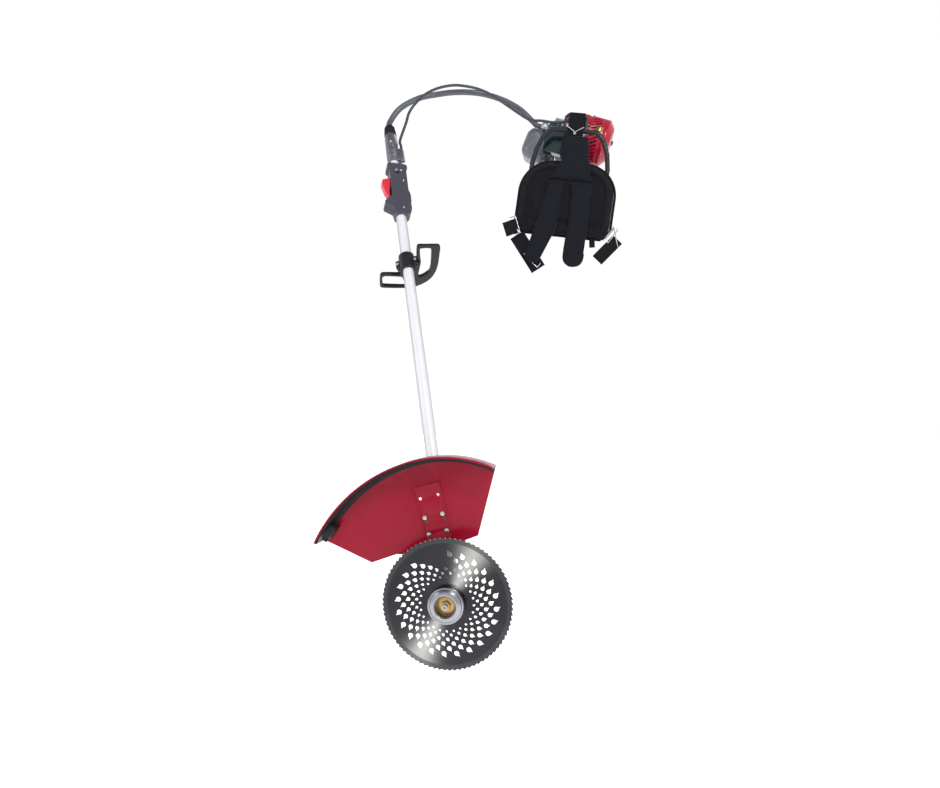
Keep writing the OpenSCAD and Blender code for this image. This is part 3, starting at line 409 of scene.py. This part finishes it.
def make_looks():
    spindle = (BLADE_AT, FACE_AXIS)
    shaft = (ENGINE @ Vector(), ENGINE_X)
    looks = {
        "frame_paint": moulded("frame_paint", (0.012, 0.012, 0.016), 0.4, worn=2.6, coat=0.08),
        "plate_paint": moulded("plate_paint", (0.03, 0.03, 0.034), 0.45, worn=3.0),
        "foot_rubber": moulded("foot_rubber", (0.009, 0.009, 0.011), 0.72, grain=0.0003, worn=1.6),
        "pad_fabric": woven("pad_fabric", (0.006, 0.0065, 0.01), PACK_X, PACK_Z, 0.0021, 0.0004, 0.06),
        "strap_fabric": woven("strap_fabric", (0.007, 0.008, 0.012), PACK_X, PACK_Z, 0.0017, 0.0003, 0.05),
        "webbing": woven("webbing", (0.009, 0.009, 0.012), PACK_X, PACK_Z, 0.0024, 0.0005, 0.06, twill=True),
        "wire_steel": turned_metal("wire_steel", (0.42, 0.42, 0.44), 0.14, Vector(), PACK_Z, 0.0011),
        "cast_alloy": cast_metal("cast_alloy", (0.34, 0.345, 0.365), 0.4),
        "machined_steel": turned_metal("machined_steel", (0.4, 0.4, 0.43), 0.24, *spindle),
        "ceramic": moulded("ceramic", (0.82, 0.81, 0.77), 0.14, coat=0.7, worn=0.9),
        "engine_red": moulded("engine_red", (0.3, 0.005, 0.022), 0.26, grain=0.00006, worn=1.2, coat=0.12)
        .set(Specular_IOR_Level=0.25),
        "dark_gloss": moulded("dark_gloss", (0.003, 0.016, 0.02), 0.14, grain=0.00004, worn=1.8, coat=0.5),
        "muffler_steel": moulded("muffler_steel", (0.075, 0.065, 0.058), 0.58, metal=0.5, worn=2.2,
                                 mottle=0.4),
        "tank_plastic": smoky_tank(),
        "hose_rubber": marked_rubber("hose_rubber", (0.055, 0.059, 0.08)),
        "cable_rubber": marked_rubber("cable_rubber", (0.035, 0.037, 0.048), 0.002),
        "black_plastic": moulded("black_plastic", (0.01, 0.01, 0.014), 0.36, grain=0.0002, worn=2.2,
                                  coat=0.06),
        "grip_plastic": moulded("grip_plastic", (0.045, 0.046, 0.062), 0.34, grain=0.0002, worn=2.0,
                                coat=0.12),
        "brass": turned_metal("brass", (0.4, 0.27, 0.11), 0.26, *spindle, 0.0008),
        "anodised": drawn_tube(),
        "bearing_steel": turned_metal("bearing_steel", (0.62, 0.62, 0.65), 0.16, *spindle),
        "bronze": turned_metal("bronze", (0.33, 0.2, 0.1), 0.35, GEARS_AT, WAND),
        "guard_red": clear_red(),
        "skirt_rubber": moulded("skirt_rubber", (0.006, 0.006, 0.008), 0.5, grain=0.0002, worn=2.2),
        "bracket_steel": moulded("bracket_steel", (0.07, 0.07, 0.085), 0.42, metal=0.3, worn=2.4),
        "zinc": turned_metal("zinc", (0.46, 0.45, 0.41), 0.2, *spindle, 0.0005),
        "collar_grey": cast_metal("collar_grey", (0.17, 0.17, 0.2), 0.34),
        "red_plastic": moulded("red_plastic", (0.52, 0.012, 0.035), 0.24, grain=0.00008, worn=1.25, coat=0.4),
        "blade_steel": blade_steel(),
        "cup_steel": turned_metal("cup_steel", (0.3, 0.3, 0.33), 0.2, *spindle, 0.0009),
    }
    looks["machined_shaft"] = turned_metal("machined_shaft", (0.4, 0.4, 0.43), 0.24, *shaft)
    return {name: look.material for name, look in looks.items()}


LOOKS = make_looks()


def paint(obj, slot):
    """Gives a mesh or curve the material of a slot."""
    obj.data.materials.clear()
    obj.data.materials.append(LOOKS[slot])


# ---------------------------------------------------------------- mesh tools

def add_object(name, vertices, faces, smooth=True):
    mesh = bpy.data.meshes.new(name)
    mesh.from_pydata([tuple(v) for v in vertices], [], faces)
    mesh.validate()
    mesh.update()
    for polygon in mesh.polygons:
        polygon.use_smooth = smooth
    obj = bpy.data.objects.new(name, mesh)
    bpy.context.collection.objects.link(obj)
    return obj


def piece(obj, body, slot, *replaced):
    """Finishes a new piece: its material, the body it rides on and the CAD nodes it stands for."""
    paint(obj, slot)
    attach(obj, body)
    if replaced:
        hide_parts(*replaced)
    return obj


def catmull(points, steps):
    """A smooth line through the points."""
    line = []
    last = len(points) - 1
    for i in range(last):
        p0, p1, p2, p3 = (points[max(0, min(last, k))] for k in (i - 1, i, i + 1, i + 2))
        for s in range(steps):
            u = s / steps
            line.append(0.5 * (2 * p1 + (p2 - p0) * u + (2 * p0 - 5 * p1 + 4 * p2 - p3) * u * u
                               + (3 * p1 - p0 - 3 * p2 + p3) * u ** 3))
    line.append(points[-1])
    return line


def frames_along(line):
    """(point, side, up) at each point, turning as little as possible along the line."""
    found = []
    side = None
    for i, p in enumerate(line):
        t = (line[min(i + 1, len(line) - 1)] - line[max(i - 1, 0)]).normalized()
        if side is None:
            side = t.cross(Vector((0, 1, 0.2))).normalized()
        side = (side - t * side.dot(t)).normalized()
        found.append((p, side, t.cross(side)))
    return found


def skin(name, rings):
    """A closed surface through rings of points that all have the same number of points."""
    count = len(rings[0])
    vertices = [v for ring in rings for v in ring]
    faces = []
    for i in range(len(rings) - 1):
        a, b = i * count, (i + 1) * count
        faces += [(a + k, a + (k + 1) % count, b + (k + 1) % count, b + k) for k in range(count)]
    faces.append(tuple(range(count - 1, -1, -1)))
    faces.append(tuple((len(rings) - 1) * count + k for k in range(count)))
    return add_object(name, vertices, faces)


def tube(name, line, radius, sides=16):
    """A round tube along a line; radius is a number or a function of the share of the way along."""
    rings = []
    for i, (p, side, up) in enumerate(frames_along(line)):
        r = radius(i / max(1, len(line) - 1)) if callable(radius) else radius
        turns = [2 * math.pi * k / sides for k in range(sides)]
        rings.append([p + r * (math.cos(a) * side + math.sin(a) * up) for a in turns])
    return skin(name, rings)


def ribbon(name, line, normals, width, thick):
    """Flat webbing along a line, with rounded selvedges and a rib along each."""
    w, h = width / 2, thick / 2
    profile = [(-1, 0), (-0.985, 0.8), (-0.93, 1.25), (-0.86, 1.0), (0, 1.0), (0.86, 1.0), (0.93, 1.25),
               (0.985, 0.8), (1, 0), (0.985, -0.8), (0.93, -1.25), (0.86, -1), (0, -1), (-0.86, -1),
               (-0.93, -1.25), (-0.985, -0.8)]
    rings = []
    for i, p in enumerate(line):
        t = (line[min(i + 1, len(line) - 1)] - line[max(i - 1, 0)]).normalized()
        n = normals[i] if isinstance(normals, list) else normals
        side = t.cross(n).normalized()
        up = side.cross(t).normalized()
        rings.append([p + side * (x * w) + up * (y * h) for x, y in profile])
    return skin(name, rings)


def joined(name, parts):
    """One object out of several."""
    vertices, faces = [], []
    for part in parts:
        base = len(vertices)
        vertices += [v.co.copy() for v in part.data.vertices]
        faces += [tuple(base + i for i in p.vertices) for p in part.data.polygons]
        bpy.data.objects.remove(part)
    return add_object(name, vertices, faces)


def evaluated(obj, name):
    """A copy of an object with its modifiers applied."""
    bpy.context.view_layer.update()
    graph = bpy.context.evaluated_depsgraph_get()
    mesh = bpy.data.meshes.new_from_object(obj.evaluated_get(graph))
    copy = bpy.data.objects.new(name, mesh)
    bpy.context.collection.objects.link(copy)
    for polygon in mesh.polygons:
        polygon.use_smooth = True
    return copy


def remeshed(name, node, voxel, smoothing=0, inset=0.0):
    """A copy of a CAD node's mesh in even quads, smoothed so that its edges are round."""
    work = bpy.data.objects.new("work", nodes[node].data.copy())
    bpy.context.collection.objects.link(work)
    remesh = work.modifiers.new("remesh", "REMESH")
    remesh.mode = "VOXEL"
    remesh.voxel_size = voxel
    if inset:
        shrink = work.modifiers.new("shrink", "DISPLACE")
        shrink.strength = -inset
        shrink.mid_level = 0.0
    if smoothing:
        smooth = work.modifiers.new("smooth", "SMOOTH")
        smooth.factor = 0.5
        smooth.iterations = smoothing
    copy = evaluated(work, name)
    bpy.data.objects.remove(work)
    return copy


def soften(node, voxel, smoothing):
    """Stands for a moulded CAD node with a copy that has round edges."""
    obj = remeshed(node + "_moulded", node, voxel, smoothing)
    return piece(obj, body_of[node], slot_of[node], node)


def round_edges(node, width, segments=2, angle=32):
    """Small round edges on a CAD node, by modifiers only."""
    obj = nodes[node]
    weld = obj.modifiers.new("weld", "WELD")
    weld.merge_threshold = 0.00001
    bevel = obj.modifiers.new("bevel", "BEVEL")
    bevel.width = width
    bevel.segments = segments
    bevel.limit_method = "ANGLE"
    bevel.angle_limit = math.radians(angle)
    bevel.harden_normals = True
    for polygon in obj.data.polygons:
        polygon.use_smooth = True


def inflated(name, node, voxel, inset, cap, side_cap=0.0008, pressure=4.0):
    """A padded piece: the CAD solid in quads, blown up as cloth, with little travel sideways."""
    obj = remeshed(name, node, voxel, smoothing=3, inset=inset)
    start = [v.co.copy() for v in obj.data.vertices]
    cloth = obj.modifiers.new("cloth", "CLOTH")
    cloth.settings.quality = 5
    cloth.settings.mass = 0.3
    cloth.settings.tension_stiffness = 15
    cloth.settings.compression_stiffness = 15
    cloth.settings.bending_stiffness = 0.5
    cloth.settings.use_pressure = True
    cloth.settings.uniform_pressure_force = pressure
    cloth.settings.effector_weights.gravity = 0
    scene = bpy.context.scene
    for step in range(1, 21):
        scene.frame_set(step)
    settled = evaluated(obj, "settled")
    moved = [v.co.copy() for v in settled.data.vertices]
    bpy.data.objects.remove(settled)
    obj.modifiers.clear()
    scene.frame_set(1)
    turn = TO_PACK.to_3x3()
    for vertex, a, b in zip(obj.data.vertices, start, moved):
        x, y, z = turn @ (b - a)
        share = min(1.0, side_cap / max(math.hypot(x, z), 1e-9))
        step = Vector((x * share, max(-cap, min(cap, y)), z * share))
        vertex.co = a + turn.transposed() @ step
    return obj


def subdivided(obj):
    sub = obj.modifiers.new("subdivide", "SUBSURF")
    sub.levels = 1
    sub.render_levels = 1
    return obj


def surface_of(obj):
    bpy.context.view_layer.update()
    return BVHTree.FromObject(obj, bpy.context.evaluated_depsgraph_get())


def on_front(surface, x, z, lift=0.0):
    """The point of a surface that is seen first from the front, at x and z of the carrying frame in mm."""
    start = at(PACK, x, -400, z)
    hit, normal, _, _ = surface.ray_cast(start, Vector((0, 1, 0)))
    if hit is None:
        return None
    return hit + Vector((0, -lift, 0))


def even(line, step):
    """The line again, with points at an even step along it."""
    result = [line[0]]
    left = step
    for a, b in zip(line, line[1:]):
        length = (b - a).length
        done = 0.0
        while length - done >= left:
            done += left
            result.append(a + (b - a) * (done / length))
            left = step
        left -= length - done
    return result


def stitches(name, line, body, slot, length=0.0032, gap=0.0016, radius=0.00045):
    """A seam's stitches: short threads laid end to end along a line."""
    points = even(line, (length + gap) / 2)
    parts = []
    for a, b in zip(points[::2], points[1::2]):
        mid = (a + b) / 2
        half = (b - a).normalized() * length / 2
        ends = [mid - half, mid - half * 0.6, mid + half * 0.6, mid + half]
        parts.append(tube("stitch", ends, lambda s: radius * (0.35 if s in (0, 1) else 1), 5))
    if parts:
        return piece(joined(name, parts), body, slot)
    return None


def lathe(name, place, axis, profile, sides):
    """A turned piece: profile is [(radius, height along the axis)], in metres."""
    axis = axis.normalized()
    side = axis.orthogonal().normalized()
    up = axis.cross(side)
    turns = [2 * math.pi * (k + 0.5) / sides for k in range(sides)]
    rings = [[place + axis * h + r * (math.cos(a) * side + math.sin(a) * up) for a in turns]
             for r, h in profile]
    return skin(name, rings)


def screw(name, place, axis, radius, body, slot="zinc", socket=True):
    """A screw head with rounded rim and a recess."""
    r = radius
    profile = [(r * 0.98, -0.0008), (r, 0), (r, r * 0.45), (r * 0.9, r * 0.62), (r * 0.62, r * 0.68)]
    if socket:
        profile += [(r * 0.5, r * 0.6), (r * 0.5, r * 0.2), (0.0001, r * 0.15)]
    else:
        profile += [(0.0001, r * 0.72)]
    return piece(lathe(name, place, axis, profile, 24), body, slot)


def direction(frame_matrix, x, y, z):
    return (frame_matrix.to_3x3() @ Vector((x, y, z))).normalized()


# ---------------------------------------------------------------- drive hose and throttle cable

def wand_point(along, across=0.0):
    return GEARS_AT + WAND * (along * MM) + direction(TUBE, 1, 0, 0) * (across * MM)


HOSE_POINTS = [(-552, -37, -7), (-547, -30, 7), (-539, -24, 23), (-526, -18, 40), (-508, -12, 55),
               (-485, -6, 68), (-459, 0, 79), (-421, 10, 88), (-373, 16, 94), (-325, 24, 95), (-278, 38, 92),
               (-235, 58, 84), (-198, 84, 74), (-166, 110, 59), (-130, 130.5, 27)]
CABLE_POINTS = [(-509, -82, -76), (-496, -62, -19), (-490, -50, 14), (-474, -40, 44), (-446, -32, 73),
                (-408, -24, 93), (-361, -14, 103), (-315, -2, 100), (-281, 14, 94), (-247, 34, 82),
                (-213, 48, 61), (-174, 54, 34), (-141, 57, 14), (-104, 60, 10), (-78, 66, 7), (-52, 71, 6)]
HOSE_TOP = 1420
TAB_TOP = 1308
CABLE_OFFSET = 27
HOSE_D = 0.017
CABLE_D = 0.008


def bend_with_wand(obj):
    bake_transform(obj)


def add_hose():
    route = [wand_point(HOSE_TOP + t) for t in (0.05, 6, 12)]
    route += [Vector(p) * MM for p in HOSE_POINTS]
    route += [at(ENGINE, x, 0, 0) for x in (-124, -118, -112.1)]
    line = catmull(route, 8)
    obj = tube("drive_hose_rubber", line, HOSE_D / 2, 28)
    paint(obj, "hose_rubber")
    obj["finish"] = "hose_rubber"
    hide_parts("drive_hose")
    bend_with_wand(obj)


def add_cable():
    start = wand_point(TAB_TOP, CABLE_OFFSET)
    route = [start + WAND * (t * MM) for t in (0.1, 11, 22)]
    route += [Vector(p) * MM for p in CABLE_POINTS]
    route += [at(ENGINE, x, -60, 17) for x in (-34, -28, -21.6)]
    line = catmull(route, 8)
    obj = tube("throttle_cable_rubber", line, CABLE_D / 2, 20)
    paint(obj, "cable_rubber")
    obj["finish"] = "cable_rubber"
    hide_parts("throttle_cable")
    bend_with_wand(obj)


add_hose()
add_cable()


# ---------------------------------------------------------------- soft goods

PAD_X, PAD_MID_Z = 4, -254
PAD_HALF_W, PAD_HALF_H = 137, 105
PAD_TOP_CORNER, PAD_LOW_CORNER = 92, 36
YOKE_END = -205
TO_PACK = PACK.inverted()


def pad_distance(x, z):
    """Distance to the pad's edge, below 0 inside it; the upper corners are rounder than the lower ones."""
    corner = PAD_TOP_CORNER if z > 0 else PAD_LOW_CORNER
    qx = abs(x) - PAD_HALF_W + corner
    qz = abs(z) - PAD_HALF_H + corner
    return math.hypot(max(qx, 0), max(qz, 0)) + min(max(qx, qz), 0) - corner


def bell(value, middle, width):
    return math.exp(-((value - middle) / width) ** 2)


def pad_line(inset, step=5):
    """Points round the pad's outline, moved inwards by inset."""
    w, h = PAD_HALF_W - inset, PAD_HALF_H - inset
    points = []
    for sx, sz, start in ((1, 1, 0), (-1, 1, 90), (-1, -1, 180), (1, -1, 270)):
        r = max((PAD_TOP_CORNER if sz > 0 else PAD_LOW_CORNER) - inset, 6)
        for a in range(0, 91, step):
            t = math.radians(start + a)
            x, z = sx * (w - r) + r * math.cos(t), sz * (h - r) + r * math.sin(t)
            points.append((PAD_X + x, PAD_MID_Z + z))
    return points + [points[0]]


def add_back_pad():
    pad = inflated("back_pad_cushion", "back_pad", 0.005, 0.002, 0.007)
    for vertex in pad.data.vertices:
        x, y, z = TO_PACK @ vertex.co / MM
        if y > -19:
            continue
        d = pad_distance(x - PAD_X, z - PAD_MID_Z)
        rise = 5.0 * bell(d, -19, 6) - 3.5 * bell(d, -31, 7) + 2.0 * bell(d, -58, 16)
        rise -= 2.5 * bell(x, PAD_X, 12) * (1 if d < -30 else 0)
        vertex.co += at(PACK, 0, -rise, 0) - at(PACK, 0, 0, 0)
    subdivided(pad)
    piece(pad, "pack", "pad_fabric", "back_pad")
    surface = surface_of(pad)
    for name, inset, radius in (("pad_welt", 21, 0.0017), ("pad_inner_welt", 44, 0.0011)):
        line = [on_front(surface, x, z, 0.0004) for x, z in pad_line(inset)]
        line = even(catmull([p for p in line if p], 3), 0.004)
        piece(tube(name, line, radius, 10), "pack", "webbing")
        sewn = [on_front(surface, *(((TO_PACK @ p) / MM)[i] for i in (0, 2)), 0.0002) for p in line]
        raised = [p + Vector((0, -radius, 0)) for p in sewn if p]
        stitches(name + "_stitches", raised, "pack", "pad_fabric")
    edge = [at(PACK, x, -23, z) for x, z in pad_line(-1)]
    corner = catmull(edge, 2)
    piece(tube("pad_binding", corner, 0.0036, 12), "pack", "webbing")
    return surface


def arc(x, z, radius, start, end, steps):
    turns = [math.radians(start + (end - start) * i / steps) for i in range(steps + 1)]
    return [(x + radius * math.cos(t), z + radius * math.sin(t)) for t in turns]


# Front outlines in mm of the carrying frame
YOKE_OUTLINE = [(-28, -66), (42, -66), (46, -84), (60, -150), (74, YOKE_END),
                (-52, YOKE_END), (-26, -150), (-34, -84)]
RIGHT_STRAP = [(14, YOKE_END), (73, YOKE_END), (79, -300), (79, -414), *arc(47, -420, 32, 0, -180, 12),
               (15, -380), (18, -340)]
LEFT_STRAP = [(-6, YOKE_END), (-51, YOKE_END), (-72, -320), (-90, -414), *arc(-66, -427, 25, 172, 344, 12),
              (-14, -358), (-8, -335)]


def inset_outline(outline, inset):
    """A closed outline moved inwards by an even distance."""
    area = sum(a[0] * b[1] - b[0] * a[1] for a, b in zip(outline, outline[1:] + outline[:1]))
    turn = 1 if area > 0 else -1
    moved = []
    for i, p in enumerate(outline):
        a, b = Vector(outline[i - 1]), Vector(outline[(i + 1) % len(outline)])
        p = Vector(p)
        n1 = Vector((-(p - a).y, (p - a).x)).normalized()
        n2 = Vector((-(b - p).y, (b - p).x)).normalized()
        n = n1 + n2
        n = n / max(n.dot(n1), 0.35) if n.length > 1e-6 else n1
        moved.append(tuple(p + n * turn * inset))
    return moved


def add_padded_strap(name, node, outline):
    strap = inflated(name, node, 0.004, 0.0018, 0.005)
    for vertex in strap.data.vertices:
        x, y, z = TO_PACK @ vertex.co / MM
        # slow creases across the padding
        crease = 0.9 * math.sin(z / 17.0 + x / 40.0) * bell(y, -53, 9)
        vertex.co += at(PACK, 0, crease, 0) - at(PACK, 0, 0, 0)
    subdivided(strap)
    piece(strap, "pack", "strap_fabric", node)
    surface = surface_of(strap)
    for label, inset, radius in (("binding", 2.6, 0.0019), ("seam", 9.0, 0.0)):
        line = [at(PACK, x, 0, z) for x, z in inset_outline(outline, inset)]
        line = even(line + [line[0]], 0.004)
        local = [TO_PACK @ p / MM for p in line]
        placed = [on_front(surface, p.x, p.z, 0.0003) for p in local]
        runs, run = [], []
        for p in placed:
            if p is None or (run and (p - run[-1]).length > 0.012):
                runs.append(run)
                run = []
            if p is not None:
                run.append(p)
        runs.append(run)
        for i, run in enumerate(r for r in runs if len(r) > 5):
            if radius:
                piece(tube(f"{name}_{label}_{i}", run, radius, 8), "pack", "webbing")
            else:
                stitches(f"{name}_{label}_{i}", run, "pack", "pad_fabric")
    return surface


WEBBING_X = 3


def add_top_webbing():
    radius = 5.3
    profile = [(radius, -34), (radius, -20), (radius, -6)]
    profile += arc(0, 0, radius, 0, 180, 12)
    profile += [(-5.9, -8), (-7.4, -22), (-8.8, -34), (-9.0, -50), (-9.0, -66), (-9.0, -80)]
    line = [at(PACK, WEBBING_X, y, z) for y, z in profile]
    normals = []
    for i in range(len(line)):
        t = line[min(i + 1, len(line) - 1)] - line[max(i - 1, 0)]
        normals.append(t.cross(PACK_X))
    band = ribbon("top_webbing_band", line, normals, 0.046, 0.0022)
    piece(band, "pack", "webbing", "top_webbing")
    for x in (-20, 20):
        sewn = [at(PACK, WEBBING_X + x, y, z) + Vector((0, -0.0014, 0)) for y, z in profile if y < -5.5]
        stitches(f"top_webbing_stitches_{'left' if x < 0 else 'right'}", sewn, "pack", "pad_fabric")


# Ends of each lower webbing run, its width and its depth, in mm of the carrying frame
LOWER_WEBBING = [
    ("left_adjuster", (-46, -464), (-122, -373), 44, -36.1),
    ("left_tail", (-126, -350), (-158, -365), 42, -50.1),
    ("right_adjuster", (117, -421), (166, -356), 36, -40.1),
    ("right_tail", (98, -386), (94, -362), 16, -36.1),
]


def add_lower_webbing():
    bands = []
    for name, a, b, width, y in LOWER_WEBBING:
        steps = 14
        line = []
        for i in range(steps + 1):
            s = i / steps
            sag = 0.8 * math.sin(2 * math.pi * s)
            line.append(at(PACK, a[0] + (b[0] - a[0]) * s, y - sag, a[1] + (b[1] - a[1]) * s))
        bands.append(ribbon("band", line, Vector((0, -1, 0)), width * MM, 0.0022))
    obj = joined("lower_webbing_bands", bands)
    piece(obj, "pack", "webbing", "lower_webbing")


pad_surface = add_back_pad()
add_padded_strap("yoke_padding", "harness_yoke", YOKE_OUTLINE)
add_padded_strap("right_strap_padding", "right_shoulder_strap", RIGHT_STRAP)
add_padded_strap("left_strap_padding", "left_shoulder_strap", LEFT_STRAP)
add_top_webbing()
add_lower_webbing()


# ---------------------------------------------------------------- CAD pieces: finish and round edges

# Nodes whose finish differs from the plain look of their slot; the flywheel's dark bracket steel is painted
# shade inside the fan housing, as the flywheel itself is aluminium
OWN_LOOK = {"crankshaft": "machined_shaft", "clutch_drum": "machined_shaft",
            "connecting_rod": "machined_shaft", "flywheel": "bracket_steel"}

for node, obj in nodes.items():
    if node not in ("drive_hose", "throttle_cable"):
        paint(obj, OWN_LOOK.get(node, slot_of[node]))

# Width of the rounding on each node's edges
EDGE_WIDTHS = {"guard": 0.0007, "guard_skirt": 0.0006, "guard_bracket": 0.0006, "fan_housing": 0.0006,
               "recoil_cover": 0.0006, "clutch_housing": 0.0006, "hose_collar": 0.0009, "swivel_base": 0.0008,
               "engine_cradle": 0.0008, "guard_screws": 0.0004, "blade_nut": 0.0005, "stop_switch": 0.0008,
               "frame_feet": 0.0012}
for node, width in EDGE_WIDTHS.items():
    round_edges(node, width)

# Voxel size and smoothing steps of each moulded node
MOULDED = {"loop_handle": (0.0016, 12), "handle_clamp": (0.0013, 4), "grip_left": (0.0012, 6),
           "grip_right": (0.0012, 6), "trigger": (0.0008, 8), "lockout_lever": (0.0008, 6),
           "hose_boot": (0.0008, 3), "fuel_tank": (0.003, 6), "top_cover": (0.0016, 8),
           "muffler": (0.0016, 6),
           "air_filter_cover": (0.0016, 10), "gear_case": (0.0015, 4), "starter_handle": (0.0009, 6),
           "fuel_cap": (0.0009, 4), "carburettor": (0.0013, 3), "choke_lever": (0.0007, 4)}
for node, (voxel, smoothing) in MOULDED.items():
    soften(node, voxel, smoothing)


# ---------------------------------------------------------------- cutter details

def add_blade_tips(count=80, radius=127.3):
    """Brazed tips on the blade's teeth, a little thicker than the sheet."""
    tips = []
    for i in range(count):
        a = 2 * math.pi * (i + 0.02) / count
        outline = [(radius - 2.8, 0.0), (radius - 0.3, 0.1), (radius, 0.4), (radius - 0.4, 1.1),
                   (radius - 2.6, 1.3)]
        rings = []
        for depth in (-1.05, -0.85, 0.85, 1.05):
            scale = 0.86 if abs(depth) > 1 else 1.0
            middle = (radius - 1.5, 0.6)
            ring = []
            for r, s in outline:
                r = middle[0] + (r - middle[0]) * scale
                s = middle[1] + (s - middle[1]) * scale
                x, y = r * math.cos(a) - s * math.sin(a), r * math.sin(a) + s * math.cos(a)
                ring.append(at(FACE, x, y, depth))
            rings.append(ring)
        tips.append(skin("tip", rings))
    tips = joined("blade_tips", tips)
    for polygon in tips.data.polygons:
        polygon.use_smooth = False
    piece(tips, "cutter", "machined_steel")


add_blade_tips()


# ---------------------------------------------------------------- screws, plates and small fittings

def add_fittings():
    down = direction(TUBE, 0, -1, 0)
    for side, x in (("left", -24), ("right", 24)):
        screw("handle_bolt_" + side, at(TUBE, x, -8.6, 880), down, 0.0042, "wand")
    screw("collar_screw", at(TUBE, 5, -24.0, 1329), down, 0.0038, "wand")
    out = direction(GRIP, 0, -1, 0)
    for i, (x, z) in enumerate(((6, 24), (16, 132), (12, 172))):
        screw(f"grip_screw_{i}", at(GRIP, x, -16.9, GRIP_AT + z), out, 0.0032, "wand")
    screw("gear_case_screw", at(TUBE, 9, -24, 87), direction(TUBE, 1, 0, 0), 0.0042, "wand")
    screw("grease_plug", at(TUBE, 20, 6, 30), direction(TUBE, 1, 0.3, 0), 0.0045, "wand", "zinc", False)
    for i in range(4):
        a = math.radians(45 + 90 * i)
        place = at(ENGINE, 91, 64 * math.cos(a), 64 * math.sin(a))
        screw(f"recoil_screw_{i}", place, ENGINE_X, 0.0034, "engine")
    for i in range(3):
        a = math.radians(90 + 120 * i)
        screw(f"clutch_screw_{i}", at(ENGINE, -43, 37.5 * math.cos(a), 37.5 * math.sin(a)), -ENGINE_X, 0.0032,
              "engine")


def add_plate_and_wire():
    """A blank yellow plate on the fan housing and the wire at the left strap's tip."""
    rings = []
    for i in range(9):
        a = math.radians(8 + 14 * i / 8)
        rings.append([at(ENGINE, x, -r * math.cos(a), r * math.sin(a)) for x, r in
                      ((55, 70.0), (78, 70.0), (78, 70.6), (55, 70.6))])
    piece(skin("blank_plate", rings), "engine", "brass")
    corners = ((-92, -424), (-88, -430), (-54, -457), (-48, -457), (-42, -446))
    wire = catmull([at(PACK, x, -40, z) for x, z in corners], 4)
    piece(tube("left_strap_wire", wire, 0.0016, 10), "pack", "wire_steel")


add_fittings()
add_plate_and_wire()
